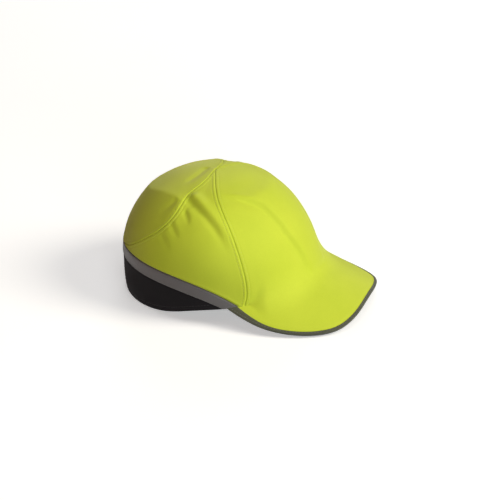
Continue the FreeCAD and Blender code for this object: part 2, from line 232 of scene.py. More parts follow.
def seam_plan(side_view, floor):
    """Plan line of the wearer's right seam from the top down to a floor(turn) height."""
    y, z = np.array(side_view, float).T
    depth = CROWN_HEIGHT - z
    share = y / np.where(y < 0, reach(depth, **FRONT), reach(depth, **REAR))
    turn = np.arccos(np.clip(-share, -1, 1))
    plan = plan_of(-turn, z)
    top = [[0.0, TOP_PLAN]]
    line = spline(np.concatenate([top, plan]), 400)
    points = crown(line)
    turns = np.arctan2(line[:, 0], -line[:, 1])
    keep = points[:, 2] > floor(turns)
    return along(line[keep], np.linspace(0, 1, 200))


def plan_behind(distance):
    """Plan distance of the form's point that lies a short distance behind its axis."""
    far = np.linspace(0.001, 0.1, 400)
    behind = reach(CROWN_HEIGHT * (1 - np.cos(far * math.pi / 2)), **REAR)
    return float(np.interp(distance, behind, far))


TOP_PLAN = plan_behind(SEAM_TOP)

# ---------------------------------------------------------------- peak

# Half outline of the peak in plan, as (x, forward of the crown's axis).
PEAK_OUTLINE = [(88.5, 40), (92.3, 60), (93.2, 80), (90.5, 98),
                (84.5, 117), (75, 136), (61, 152), (39, 162)]
PEAK_TIP = 165.3
PEAK_ROOT = 115.0
PEAK_ROOT_HEIGHT = 34.4
PEAK_SLOPE = 0.36
PEAK_ARCH = 138.0
PEAK_CORNER_DROP = 7.0
PEAK_CORNER_START, PEAK_CORNER_END = 40.0, 100.0
PEAK_CENTRE = 20.0


def peak_height(point):
    """Top of the peak over the table, under or over a point."""
    x, forward = np.clip(point[..., 0], -120, 120), -point[..., 1]
    drop = PEAK_ARCH - np.sqrt(PEAK_ARCH ** 2 - x ** 2)
    span = PEAK_CORNER_END - PEAK_CORNER_START
    back = np.maximum(0, (PEAK_CORNER_END - forward) / span)
    corner = PEAK_CORNER_DROP * back ** 2 * (x / PEAK_OUTLINE[0][0]) ** 2
    return PEAK_ROOT_HEIGHT - PEAK_SLOPE * (forward - PEAK_ROOT) - drop - corner


def on_peak(x, y):
    """Point of the peak's top surface."""
    flat = np.stack([x, y, 0 * x], -1)
    flat[..., 2] = peak_height(flat)
    return flat


def peak_normal(points):
    """Upward direction of the peak's top surface."""
    step = 0.5
    x, y = points[..., 0], points[..., 1]
    across = on_peak(x + step, y) - on_peak(x - step, y)
    ahead = on_peak(x, y + step) - on_peak(x, y - step)
    return unit(np.cross(across, ahead))


def peak_outline(inset=0.0, extra=0.0):
    """The peak's edge from the wearer's right to left, in plan, moved inwards."""
    half = [(x - inset, -forward * (1 - inset / PEAK_TIP)) for x, forward in PEAK_OUTLINE]
    if extra:
        half.insert(0, (half[0][0] - 0.28 * extra, half[0][1] + extra))
    tip = [(0.0, inset - PEAK_TIP)]
    return spline([(-x, y) for x, y in half] + tip + half[::-1], 480)


def root_turns(corner_y=-PEAK_OUTLINE[0][1]):
    """Turn at which the peak's root passes a place ahead, on the wearer's left."""
    turns = np.linspace(0.6, 1.6, 400)
    points = level(turns, settle(turns, peak_height))
    return float(np.interp(corner_y, points[:, 1], turns))


# ---------------------------------------------------------------- folds of the cloth

# Raised middle of the front panel: it widens a little over the brow, then flares at the crown.
SPINE_HALF_WIDTH = 25.0
SPINE_BROW_GAIN, SPINE_BROW, SPINE_BROW_SPAN = 5.0, 60.0, 30.0
SPINE_FLARE_GAIN, SPINE_FLARE, SPINE_FLARE_SPAN = 14.0, 111.0, 18.0
SPINE_RISE = 2.7
SPINE_CREASE = 1.4

# Folds: points (x, y, z) along each, its half width, depth, how much the cloth rises beside it,
# and its strength at the start and end.
FOLDS = [
    ([(-47, 19, 121), (-60, 0, 117), (-75, -30, 97), (-80, -42, 79)], 3.6, 1.8, 3.3, 1.0, 0.2),
    ([(-64, 14, 113), (-70, 8, 109), (-76, 3, 102)], 2.6, 1.3, 0.8, 0.9, 0.2),
    ([(-74, 25, 103), (-80, 18, 97), (-85, 11, 90)], 2.6, 1.1, 0.6, 0.9, 0.2),
    ([(-80, 34, 92), (-86, 25, 84), (-90, 18, 75)], 3.0, 0.7, 0.5, 0.8, 0.1),
    ([(8, 15, 131), (-15, 18, 130), (-36, 27, 124)], 4.2, 1.5, 0.5, 0.9, 0.7),
    ([(-57, 23, 116), (-63, 33, 108), (-66, 44, 100)], 4.2, 0.9, 0.6, 1.0, 0.1),
    ([(56, 12, 119), (66, 0, 112), (74, -15, 102), (80, -28, 90)], 4.8, 1.2, 1.2, 0.9, 0.1),
    ([(74, 22, 103), (82, 14, 94), (87, 8, 86)], 3.4, 0.7, 0.5, 0.9, 0.2),
    ([(48, 32, 118), (60, 36, 109), (68, 42, 98)], 4.4, 0.9, 0.7, 0.9, 0.1),
]
# Ridge where the cloth bends over the shell's upper rear edge, and how sharply.
REAR_RIDGE = [(54, 24, 118), (40, 48, 116), (24, 70, 109), (0, 80, 104)]
REAR_RIDGE_RISE = 3.2
REAR_RIDGE_UPPER, REAR_RIDGE_LOWER = 12.0, 21.0


def spine(points):
    """Raised middle of the front panel, with a soft crease down each side of it."""
    x, y, z = np.moveaxis(points, -1, 0)
    half_width = SPINE_HALF_WIDTH + SPINE_BROW_GAIN * smooth_step((z - SPINE_BROW) / SPINE_BROW_SPAN)
    half_width = half_width + SPINE_FLARE_GAIN * smooth_step((z - SPINE_FLARE) / SPINE_FLARE_SPAN)
    gap = np.abs(x) - half_width
    raised = SPINE_RISE * smooth_step(-gap / 8)
    crease = SPINE_CREASE * np.exp(-(np.maximum(gap / 8.0, -gap / 3.5)) ** 2)
    strength = smooth_step((127 - z) / 9) * smooth_step((-8 - y) / 20)
    return strength * (smooth_step((z - 34) / 14) * raised - smooth_step((z - 44) / 20) * crease)


def fold(points, line, width, depth, rise, first, last):
    """A valley with cloth raised on its front side."""
    line = crown_line(line)
    gap, which = nearest(points, line)
    tangent = unit(np.gradient(line, axis=0))
    outward = unit(line - np.array([0, 0, 40.0]))
    sideways = np.cross(tangent, outward)
    sideways *= np.sign((sideways @ np.array([0, -1.0, 0.2])))[:, None]
    signed = ((points - line[which]) * sideways[which]).sum(-1)
    share = which / (len(line) - 1)
    strength = (first + (last - first) * share) * smooth_step(share / 0.12)
    strength = strength * smooth_step((1 - share) / 0.35)
    ends = np.maximum(0, gap - np.abs(signed))
    behind = np.hypot(signed + width, ends) / width
    ahead = np.hypot(signed - 1.1 * width, ends) / (1.5 * width)
    return strength * (rise * np.exp(-ahead ** 2) - depth * np.exp(-behind ** 2))


def crown_line(points):
    """Smooth line through points near the crown."""
    return spline(points, 60)


def rear_ridge(points):
    """Cloth bending over the upper rear edge of the shell."""
    right_half = [(-x, y, z) for x, y, z in REAR_RIDGE]
    line = crown_line(right_half + REAR_RIDGE[-2::-1])
    gap, which = nearest(points, line)
    above = points[..., 2] > line[which][..., 2]
    width = np.where(above, REAR_RIDGE_UPPER, REAR_RIDGE_LOWER)
    return REAR_RIDGE_RISE * np.exp(-(gap / width) ** 1.1) * smooth_step((points[..., 1] - 8) / 22)


def ripple(points):
    """Slight unevenness of cloth over a shell."""
    x, y, z = np.moveaxis(points, -1, 0)
    slow = np.sin(x / 17 + 1.1 * np.sin(y / 23)) * np.sin(z / 19 + y / 29 + 0.6)
    quick = np.sin(y / 7.3 + 2.1 * np.sin(z / 15)) * np.sin(x / 9.1 - z / 12.7)
    return 0.22 * slow + 0.07 * quick


def relief(points):
    """How far the cloth stands off the smooth form."""
    total = spine(points) + rear_ridge(points) + ripple(points)
    for line, width, depth, rise, first, last in FOLDS:
        total = total + fold(points, line, width, depth, rise, first, last)
    return total


# Height of the cloth by distance from a seam: the groove, the felled seam, the stitched dip.
SEAM_PROFILE = [(0, -0.1), (0.3, 0.2), (0.9, 0.6), (2.3, 0.68), (2.9, 0.36), (3.4, 0.22),
                (4.6, 0.34), (7, 0.18), (11, 0)]
# The same by distance from a plain edge that is sewn under another piece.
EDGE_PROFILE = [(0, -1.0), (0.5, -0.35), (1.2, 0.25), (2.2, 0.4), (5, 0.1), (9, 0)]
STITCH_ROW = 3.1


front_seam = seam_plan(FRONT_SEAM, stripe_top)
rear_seam = seam_plan(REAR_SEAM, stripe_top)
MIRROR = np.array([-1.0, 1.0])
seams = [front_seam, front_seam * MIRROR, rear_seam, rear_seam * MIRROR]
seam_lines = [crown(line) for line in seams]


def seam_lift(points):
    """Height that the seams give to the cloth, and how near the nearest one is."""
    near = np.min([nearest(points, line)[0] for line in seam_lines], axis=0)
    return profile(near, SEAM_PROFILE), near


def cover(plan, lift=0.0):
    """Points of the yellow cover's outer face, raised by lift."""
    base = crown(plan)
    height = relief(base) + seam_lift(base)[0] + lift
    return base + crown_normal(plan) * height[..., None]


# ---------------------------------------------------------------- mesh making

def build(name, points, faces, material, uv=None, near=None, body=ROOT_BODY):
    """Object from points in mm about the crown's axis, riding on a body."""
    points = np.asarray(points, float).reshape(-1, 3)
    placed = (points + np.array([0, AXIS_Y, 0])) * MM
    mesh = bpy.data.meshes.new(name)
    mesh.from_pydata(placed.tolist(), [], [list(map(int, face)) for face in faces])
    mesh.update()
    if uv is not None:
        layer = mesh.uv_layers.new(name="cloth")
        corners = np.empty(len(mesh.loops), int)
        mesh.loops.foreach_get("vertex_index", corners)
        layer.data.foreach_set("uv", np.asarray(uv, float).reshape(-1, 2)[corners].ravel())
    # seam_near carries painted shade: it is 1 at seams and edges, and there the cloth's colour is darkened
    # towards its groove colour.
    if near is not None:
        painted_seam_shade = mesh.attributes.new("seam_near", "FLOAT", "POINT")
        painted_seam_shade.data.foreach_set("value", np.asarray(near, np.float32).ravel())
    mesh.polygons.foreach_set("use_smooth", [True] * len(mesh.polygons))
    mesh.materials.append(material)
    item = bpy.data.objects.new(name, mesh)
    bpy.context.scene.collection.objects.link(item)
    if body:
        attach(item, body)
    return item


def grid_faces(rows, columns, keep=None, start=0):
    """Quads of a grid whose points are numbered row by row."""
    faces = []
    for i in range(rows - 1):
        for j in range(columns - 1):
            if keep is None or keep[i, j]:
                a = start + i * columns + j
                faces.append((a, a + 1, a + columns + 1, a + columns))
    return faces


def skin(name, outer, inner, material, keep=None, near=None):
    """Closed thin solid between an outer and an inner grid, with its faces turned outwards."""
    rows, columns = outer.shape[:2]
    count = rows * columns
    top = grid_faces(rows, columns, keep)
    edges = {}
    for face in top:
        for a, b in zip(face, face[1:] + face[:1]):
            edges[(a, b)] = True
    walls = [(b, a, a + count, b + count) for a, b in edges if (b, a) not in edges]
    under = [tuple(corner + count for corner in reversed(face)) for face in top]
    faces = top + under + walls
    used = sorted({corner for face in faces for corner in face})
    place = {corner: index for index, corner in enumerate(used)}
    faces = [tuple(place[corner] for corner in face) for face in faces]
    uv = cloth_uv(outer)
    points = np.concatenate([outer.reshape(-1, 3), inner.reshape(-1, 3)])[used]
    uv = np.concatenate([uv, uv])[used]
    if near is not None:
        near = np.concatenate([near.ravel(), near.ravel()])[used]
    item = build(name, points, faces, material, uv, near)
    outwards(item)
    return item


def cloth_uv(grid):
    """Millimetres along and across a grid, from its middle column."""
    steps = np.linalg.norm(np.diff(grid, axis=1), axis=2)
    across = np.concatenate([np.zeros((len(grid), 1)), np.cumsum(steps, axis=1)], axis=1)
    across -= across[:, across.shape[1] // 2][:, None]
    steps = np.linalg.norm(np.diff(grid, axis=0), axis=2)
    down = np.concatenate([np.zeros((1, grid.shape[1])), np.cumsum(steps, axis=0)], axis=0)
    return np.stack([across, down], -1).reshape(-1, 2)


def tube_faces(count, ring):
    """Faces of a tube of rings of points, closed at both ends."""
    faces = []
    for i in range(count - 1):
        for j in range(ring):
            a, b = i * ring + j, i * ring + (j + 1) % ring
            faces.append((a, b, b + ring, a + ring))
    faces.append(tuple(reversed(range(ring))))
    faces.append(tuple(range((count - 1) * ring, count * ring)))
    return faces


def sweep(name, centres, outward, upward, section, material, body=ROOT_BODY):
    """Tube with a closed (out, up) section, one for all places or one for each."""
    section = np.asarray(section, float)
    if section.ndim == 2:
        section = np.repeat(section[None], len(centres), axis=0)
    ring = section.shape[1]
    points = centres[:, None] + section[..., :1] * outward[:, None] + section[..., 1:] * upward[:, None]
    far = np.repeat(lengths(centres)[:, None], ring, axis=1)
    round_section = np.concatenate([section[0], section[0][:1]])
    around = np.repeat(lengths(round_section)[None, :-1], len(centres), axis=0)
    uv = np.stack([around, far], -1)
    item = build(name, points, tube_faces(len(centres), ring), material, uv, None, body)
    outwards(item)
    return item


def outwards(item):
    """Turns all faces of a closed piece outwards."""
    work = bmesh.new()
    work.from_mesh(item.data)
    bmesh.ops.recalc_face_normals(work, faces=work.faces)
    work.to_mesh(item.data)
    work.free()


def rounded(half_out, half_up, corner, steps=3):
    """Closed rounded rectangle as (out, up) points."""
    points = []
    for k, (x, y) in enumerate([(1, 1), (-1, 1), (-1, -1), (1, -1)]):
        for step in range(steps + 1):
            angle = math.pi / 2 * (k + step / steps)
            points.append((x * (half_out - corner) + corner * math.cos(angle),
                           y * (half_up - corner) + corner * math.sin(angle)))
    return points


STITCH_PITCH = 3.2
STITCH_LENGTH = 2.5
STITCH_RADIUS = 0.32
# Rings of one stitch as (place along its half length, size, rise), size and rise in radii.
STITCH_RINGS = [(-1.0, 0.25, -0.9), (-0.72, 0.8, -0.2), (0.0, 1.0, 0.25), (0.72, 0.8, -0.2),
                (1.0, 0.25, -0.9)]
STITCH_SIDES = 6
THREAD_LIFT = 0.05


def stitch_points(start, end, up, radius):
    """Points of one short thread that dips into the cloth at both ends."""
    ahead = unit(end - start)
    side = np.cross(ahead, up)
    points = []
    for place, size, rise in STITCH_RINGS:
        centre = (start + end) / 2 + ahead * place * STITCH_LENGTH / 2 + up * rise * radius
        for k in range(STITCH_SIDES):
            angle = 2 * math.pi * k / STITCH_SIDES
            points.append(centre + radius * size * (side * math.cos(angle) + up * math.sin(angle)))
    return points


def stitches(name, rows, material, pitch=STITCH_PITCH, radius=STITCH_RADIUS, body=ROOT_BODY):
    """Short raised threads along rows of (points, normals), as one piece."""
    points, faces = [], []
    one_stitch = tube_faces(len(STITCH_RINGS), STITCH_SIDES)
    for line, normals in rows:
        far = lengths(line)
        count = int(far[-1] / pitch)
        for index in range(count):
            middle = (index + 0.5) * far[-1] / count
            ends = [middle - STITCH_LENGTH / 2, middle + STITCH_LENGTH / 2]
            start, end = [np.array([np.interp(at, far, column) for column in line.T]) for at in ends]
            up = unit(np.array([np.interp(middle, far, column) for column in normals.T]))
            faces += [tuple(len(points) + corner for corner in face) for face in one_stitch]
            points += stitch_points(start, end, up, radius)
    item = build(name, points, faces, material, body=body)
    outwards(item)
    return item


# ---------------------------------------------------------------- materials

class Finish:
    """A node material under construction round its Principled shader."""

    def __init__(self, name):
        """Starts the material with its one shader."""
        self.material = bpy.data.materials.new(name)
        self.material.use_nodes = True
        self.nodes = self.material.node_tree.nodes
        self.links = self.material.node_tree.links
        self.shader = self.nodes["Principled BSDF"]

    def feed(self, socket, value):
        """Links a socket, or sets it when the value is a number or colour."""
        if isinstance(value, tuple):
            socket.default_value = (*value, 1)
        elif isinstance(value, (int, float)):
            socket.default_value = value
        else:
            self.links.new(value, socket)

    def texture(self, kind, vector, **settings):
        """Texture node on a vector, its inputs set by name."""
        node = self.nodes.new(kind)
        for name, value in settings.items():
            node.inputs[name].default_value = value
        self.links.new(vector, node.inputs["Vector"])
        return node

    def solid(self):
        """Place in the piece itself."""
        return self.nodes.new("ShaderNodeTexCoord").outputs["Object"]

    def noise(self, vector, scale, detail=4.0, rough=0.55):
        """Cloudy value from 0 to 1."""
        cloud = self.texture("ShaderNodeTexNoise", vector, Scale=scale, Detail=detail, Roughness=rough)
        return cloud.outputs["Fac"]

    def ribs(self, vector, axis, pitch, distortion=0.0):
        """Parallel ribs a pitch apart."""
        scale = 2 * math.pi / (20 * pitch)
        wave = self.texture("ShaderNodeTexWave", vector, Scale=scale, Distortion=distortion, Detail=1.0)
        wave.wave_type = "BANDS"
        wave.bands_direction = axis
        return wave.outputs["Fac"]

    def maths(self, operation, *values):
        """Result of one sum on values or sockets."""
        node = self.nodes.new("ShaderNodeMath")
        node.operation = operation
        for socket, value in zip(node.inputs, values):
            self.feed(socket, value)
        return node.outputs[0]

    def ramp(self, value, stops):
        """Colours or greys along a value, as (place, colour) stops."""
        node = self.nodes.new("ShaderNodeValToRGB")
        elements = node.color_ramp.elements
        for element, (place, colour) in zip(elements, stops):
            element.position = place
            element.color = (*colour, 1) if isinstance(colour, tuple) else (colour, colour, colour, 1)
        self.links.new(value, node.inputs["Fac"])
        return node.outputs["Color"]

    def mix(self, share, first, second, blend="MIX"):
        """Second colour laid over the first by a share."""
        node = self.nodes.new("ShaderNodeMix")
        node.data_type = "RGBA"
        node.blend_type = blend
        for index, value in ((0, share), (6, first), (7, second)):
            self.feed(node.inputs[index], value)
        return node.outputs[2]

    def bump(self, height, strength, relief_mm):
        """Fine relief on the shader from a height."""
        node = self.nodes.new("ShaderNodeBump")
        node.inputs["Strength"].default_value = strength
        node.inputs["Distance"].default_value = relief_mm * MM
        self.links.new(height, node.inputs["Height"])
        self.links.new(node.outputs["Normal"], self.shader.inputs["Normal"])

    def shade(self, **sockets):
        """Feeds the shader's sockets, given by name with _ for a space."""
        for name, value in sockets.items():
            self.feed(self.shader.inputs[name.replace("_", " ")], value)


def cloth(name, light, dark, groove, pitch, weave, relief_mm, rough, sheen, tint, specular=0.3):
    """Cloth with its weave, mottled dye, painted shade near its seams and edges, and a soft sheen.

    weave is "knit", "twill" or "rib"; pitch is the thread spacing in mm.
    """
    look = Finish(name)
    place = look.nodes.new("ShaderNodeUVMap")
    place.uv_map = "cloth"
    uv, solid = place.outputs["UV"], look.solid()
    across = look.ribs(uv, "X", pitch, 0.4 if weave == "knit" else 0.0)
    down = look.ribs(uv, "DIAGONAL" if weave == "twill" else "Y", pitch * 0.8, 0.3)
    if weave == "rib":
        threads = look.maths("ADD", down, look.maths("MULTIPLY", across, 0.25))
    else:
        threads = look.maths("MULTIPLY", across, down)
    slow, quick = look.noise(solid, 22.0, 3.0), look.noise(solid, 900.0, 3.0, 0.7)
    flecks = look.ramp(quick, [(0.25, 0.86), (0.75, 1.0)])
    colour = look.mix(0.55, look.ramp(slow, [(0.3, dark), (0.72, light)]), flecks, "MULTIPLY")
    between = look.maths("SUBTRACT", 1.0, threads)
    colour = look.mix(look.maths("MULTIPLY", between, 0.16), colour, groove)
    # Painted shade: near seams and edges, where the seam_near attribute is high, the colour is pulled towards
    # the groove colour.
    near = look.nodes.new("ShaderNodeAttribute")
    near.attribute_name = "seam_near"
    colour = look.mix(look.maths("MULTIPLY", near.outputs["Fac"], 0.38), colour, groove)
    roughness = look.maths("MULTIPLY_ADD", slow, 0.16, rough - 0.08)
    look.bump(look.maths("ADD", threads, look.maths("MULTIPLY", quick, 0.5)), 0.55, relief_mm)
    look.shade(Base_Color=colour, Roughness=roughness, Sheen_Weight=sheen, Sheen_Roughness=0.45,
               Sheen_Tint=tint, Specular_IOR_Level=specular)
    return look.material


def fluff(name, light, dark, scale, relief_mm, rough, sheen):
    """Foam, towelling or hook-and-loop: a fine random relief in the solid."""
    look = Finish(name)
    solid = look.solid()
    cells = look.texture("ShaderNodeTexVoronoi", solid, Scale=scale)
    fine, slow = look.noise(solid, scale * 0.6, 4.0, 0.7), look.noise(solid, 40.0, 3.0)
    height = look.maths("SUBTRACT", fine, cells.outputs["Distance"])
    colour = look.ramp(look.maths("ADD", height, 0.4), [(0.1, dark), (0.75, light)])
    colour = look.mix(1.0, colour, look.ramp(slow, [(0.35, 0.82), (0.7, 1.0)]), "MULTIPLY")
    roughness = look.ramp(fine, [(0.3, rough - 0.08), (0.7, rough)])
    look.bump(height, 0.8, relief_mm)
    look.shade(Base_Color=colour, Roughness=roughness, Sheen_Weight=sheen, Sheen_Roughness=0.6)
    return look.material


def moulded(name, light, dark, rough):
    """Moulded plastic with a fine spark-eroded grain, scuffed a little."""
    look = Finish(name)
    solid = look.solid()
    scuffs = look.noise(solid, 160.0, 6.0, 0.75)
    colour = look.ramp(look.noise(solid, 30.0, 5.0), [(0.3, dark), (0.75, light)])
    paler = tuple(min(1.0, value * 1.6 + 0.02) for value in light)
    marks = look.ramp(scuffs, [(0.62, 0.0), (0.78, 0.35)])
    roughness = look.ramp(scuffs, [(0.3, rough), (0.75, rough + 0.2)])
    look.bump(look.noise(solid, 1400.0, 3.0, 0.6), 0.35, 0.08)
    look.shade(Base_Color=look.mix(marks, colour, paler), Roughness=roughness)
    return look.material


# Each cloth: light, dark and groove colour, then thread pitch, weave, relief, roughness, sheen and
# its tint, and for some the specular level.
# Each groove colour is painted shade, laid near seams and edges; a little of it also darkens the gaps between
# threads.
hi_vis = cloth("hi_vis_knit", (0.655, 0.745, 0.046), (0.60, 0.70, 0.036), (0.46, 0.55, 0.018),
               0.9, "knit", 0.10, 0.72, 0.36, (1.0, 1.0, 0.5))
stripe_cloth = cloth("reflective_tape", (0.150, 0.138, 0.135), (0.118, 0.106, 0.106), (0.05, 0.045, 0.045),
                     0.7, "twill", 0.06, 0.5, 0.25, (1.0, 1.0, 1.0), 0.5)
black_cloth = cloth("black_knit", (0.018, 0.015, 0.017), (0.011, 0.010, 0.011), (0.004, 0.004, 0.005),
                    0.9, "knit", 0.14, 0.85, 0.06, (0.5, 0.5, 0.55), 0.15)
binding_cloth = cloth("grey_binding", (0.096, 0.100, 0.060), (0.076, 0.079, 0.048), (0.031, 0.032, 0.019),
                      0.7, "rib", 0.12, 0.62, 0.25, (1.0, 1.0, 1.0))
lining_tape = cloth("black_tape", (0.028, 0.027, 0.028), (0.018, 0.018, 0.019), (0.006, 0.006, 0.006),
                    0.6, "rib", 0.12, 0.7, 0.15, (0.6, 0.6, 0.6))
webbing = cloth("black_webbing", (0.030, 0.029, 0.031), (0.018, 0.018, 0.019), (0.005, 0.005, 0.005),
                1.3, "rib", 0.35, 0.62, 0.15, (0.6, 0.6, 0.6))
label_cloth = cloth("label_satin", (0.72, 0.72, 0.70), (0.64, 0.64, 0.62), (0.45, 0.45, 0.44),
                    0.45, "twill", 0.05, 0.45, 0.1, (1.0, 1.0, 1.0))
hi_vis_thread = cloth("hi_vis_thread", (0.70, 0.76, 0.10), (0.62, 0.69, 0.07), (0.42, 0.5, 0.03),
                      0.5, "rib", 0.05, 0.5, 0.3, (0.95, 1.0, 0.6))
grey_thread = cloth("grey_thread", (0.21, 0.20, 0.19), (0.16, 0.15, 0.14), (0.07, 0.07, 0.06),
                    0.5, "rib", 0.05, 0.5, 0.2, (1.0, 1.0, 1.0))
black_thread = cloth("black_thread", (0.035, 0.034, 0.036), (0.022, 0.021, 0.023), (0.008, 0.008, 0.008),
                     0.5, "rib", 0.05, 0.5, 0.2, (0.6, 0.6, 0.6))
foam = fluff("pad_foam", (0.060, 0.060, 0.064), (0.020, 0.020, 0.022), 900.0, 0.25, 0.95, 0.1)
towelling = fluff("towelling", (0.040, 0.040, 0.043), (0.008, 0.008, 0.009), 620.0, 0.9, 0.95, 0.4)
hooks = fluff("hook_tape", (0.045, 0.045, 0.048), (0.008, 0.008, 0.009), 1100.0, 0.5, 0.6, 0.1)
loops = fluff("loop_tape", (0.035, 0.035, 0.037), (0.010, 0.010, 0.011), 700.0, 0.6, 0.9, 0.5)
shell_plastic = moulded("shell_plastic", (0.030, 0.030, 0.033), (0.020, 0.020, 0.022), 0.42)
peak_plastic = moulded("peak_board_plastic", (0.68, 0.68, 0.65), (0.60, 0.60, 0.58), 0.5)


# ---------------------------------------------------------------- yellow cover

COVER_THICKNESS = 1.2
PEAK_CLOTH = 1.0
DEEPEST_INSIDE = -0.6
SEAM_SHADE = 0.45
PANEL_COLUMNS, PANEL_ROWS = 112, 104


def fan(left, right, base, across, down):
    """Plan grid between two seams that leave one point and the base line between their ends."""
    start, end = along(left, down), along(right, down)
    chord = left[-1] + (right[-1] - left[-1]) * across[:, None]
    bow = along(base, across) - chord
    flat = start[:, None] * (1 - across[:, None]) + end[:, None] * across[:, None]
    return flat + down[:, None, None] * bow


def shares_down(count):
    """Shares down a fan that start just off its point and crowd towards its foot."""
    even = np.linspace(0, 1, count)
    return 0.004 + 0.996 * (0.55 * even + 0.45 * np.sin(even * math.pi / 2))


def closeness(distance, width):
    """1 at an edge or a seam, fading away from it."""
    return np.exp(-(distance / width) ** 2)


def crown_cloth(grid, from_base=None):
    """Outer and inner points of cover cloth over a plan grid, and its distance from a seam."""
    base, normal = crown(grid), crown_normal(grid)
    folds = relief(base)
    lift, near = seam_lift(base)
    if from_base is not None:
        lift = lift + profile(from_base, EDGE_PROFILE)
    outer = base + normal * (folds + lift)[..., None]
    inner = base + normal * (np.maximum(folds, DEEPEST_INSIDE) - COVER_THICKNESS)[..., None]
    return outer, inner, near


def cover_panel(name, grid, base_line, node):
    """Thin cloth panel over a plan grid; its base edge is sewn under the stripe."""
    low = nearest(crown(grid), crown(base_line))[0]
    outer, inner, near = crown_cloth(grid, low)
    # Painted shade: darker near the seams and along the edge sewn under the stripe.
    item = skin(name, outer, inner, hi_vis, near=closeness(np.minimum(near, low), SEAM_SHADE))
    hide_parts(node)
    declare_sheet(outer)


def declare_sheet(grid):
    """Works out a panel's cut size and area from its grid; neither is kept or used."""
    across = np.linalg.norm(np.diff(grid, axis=1), axis=2).sum(1).max()
    middle = grid[:, grid.shape[1] // 2]
    down = lengths(middle)[-1]
    first = np.cross(grid[1:, :-1] - grid[:-1, :-1], grid[:-1, 1:] - grid[:-1, :-1])
    second = np.cross(grid[1:, 1:] - grid[1:, :-1], grid[1:, 1:] - grid[:-1, 1:])
    area = (np.linalg.norm(first, axis=2).sum() + np.linalg.norm(second, axis=2).sum()) / 2
    size = (round(across * MM, 3), round(down * MM, 3))
    area = min(round(area * MM * MM, 5), size[0] * size[1])


def stripe_line(start, end, count=240):
    """Plan line along the stripe's upper edge between two turns."""
    turns = np.linspace(start, end, count)
    return plan_of(turns, stripe_top(turns))


def turn_of(plan_point):
    """Turn of a plan point from straight forwards."""
    return math.atan2(plan_point[0], -plan_point[1])


front_turn = turn_of(front_seam[-1])
rear_turn = turn_of(rear_seam[-1])


def make_side_panels():
    """Panels between the front and the rear seam on each side."""
    base = stripe_line(rear_turn, front_turn)
    grid = fan(rear_seam, front_seam, base, eased(PANEL_COLUMNS), shares_down(PANEL_ROWS))
    cover_panel("side_cloth_right", grid, base, "side_panel_right")
    cover_panel("side_cloth_left", grid * MIRROR, base * MIRROR, "side_panel_left")


def make_rear_top_panel():
    """Panel between the two rear seams."""
    base = stripe_line(-rear_turn, 2 * math.pi + rear_turn)
    grid = fan(rear_seam * MIRROR, rear_seam, base, eased(PANEL_COLUMNS), shares_down(PANEL_ROWS))
    cover_panel("rear_top_cloth", grid, base, "rear_top_panel")


# Size of the rounded hollow between crown and peak: at the middle, and off to each side.
HOLLOW_MIDDLE, HOLLOW_SIDE = 11.0, 18.0
CROWN_ROWS, PEAK_ROWS = 104, 36
# Columns under the crown, and beyond each side of it as far as the peak's back corner.
FRONT_COLUMNS, CORNER_COLUMNS = 118, 9
FRONT_CORNER_Y = -43.0
# Height of the peak's cloth by distance from its edge: flat in the binding, then a slight swell.
PEAK_HEM = [(0, -0.1), (1.2, -0.1), (2.8, -0.12), (3.6, 0.0), (5.5, 0.14), (9, 0.0)]


def peak_ends(roots, inset):
    """Points of the peak's edge that lie on rays through the points of its root."""
    rays = np.arctan2(roots[:, 0], -roots[:, 1] - PEAK_CENTRE)
    edge = peak_outline(inset)
    edge_rays = np.arctan2(edge[:, 0], -edge[:, 1] - PEAK_CENTRE)
    return np.stack([np.interp(rays, edge_rays, column) for column in edge.T], -1)


def front_grids():
    """Plan grid of the crown's front, points of the peak's top, and the root between them."""
    foot = seam_plan(FRONT_SEAM, lambda turn: settle(turn, peak_height))
    foot_turn = abs(turn_of(foot[-1]))
    turns = np.linspace(-foot_turn, foot_turn, 240)
    root = plan_of(turns, settle(turns, peak_height))
    grid = fan(foot, foot * MIRROR, root, eased(FRONT_COLUMNS), shares_down(CROWN_ROWS))
    beyond = np.linspace(foot_turn, root_turns(FRONT_CORNER_Y), CORNER_COLUMNS + 1)[1:]
    inner_turns = np.arctan2(grid[-1, :, 0], -grid[-1, :, 1])
    all_turns = np.concatenate([-beyond[::-1], inner_turns, beyond])
    roots = level(all_turns, settle(all_turns, peak_height))
    shares = np.linspace(0, 1, PEAK_ROWS + 1)[1:, None, None]
    flat = roots[None, :, :2] * (1 - shares) + peak_ends(roots, 1.0)[None] * shares
    return grid, on_peak(flat[..., 0], flat[..., 1]), roots


def crown_shift(grid, hollow):
    """How the crown's cloth moves out of its corner with the peak."""
    base = crown(grid)
    root_up = peak_normal(base)
    rise = (base[..., 2] - peak_height(base)) * root_up[..., 2]
    return hollow_shift(rise, hollow[None], crown_normal(grid), root_up)


def peak_shift(on_top, hollow):
    """How the peak's cloth moves out of its corner with the crown."""
    turn = np.arctan2(on_top[..., 0] / SIDE["full"], -on_top[..., 1] / FRONT["full"])
    wall = level(turn, on_top[..., 2])
    wall_up = crown_normal(plan_of(turn, on_top[..., 2]))
    away = np.maximum(((on_top - wall) * wall_up).sum(-1), 0)
    size = np.pad(hollow, CORNER_COLUMNS)
    return hollow_shift(away, size[None], peak_normal(on_top), wall_up)


def widen(grid):
    """The crown's grid with its end columns repeated, as wide as the peak's."""
    return np.pad(grid, ((0, 0), (CORNER_COLUMNS, CORNER_COLUMNS), (0, 0)), mode="edge")


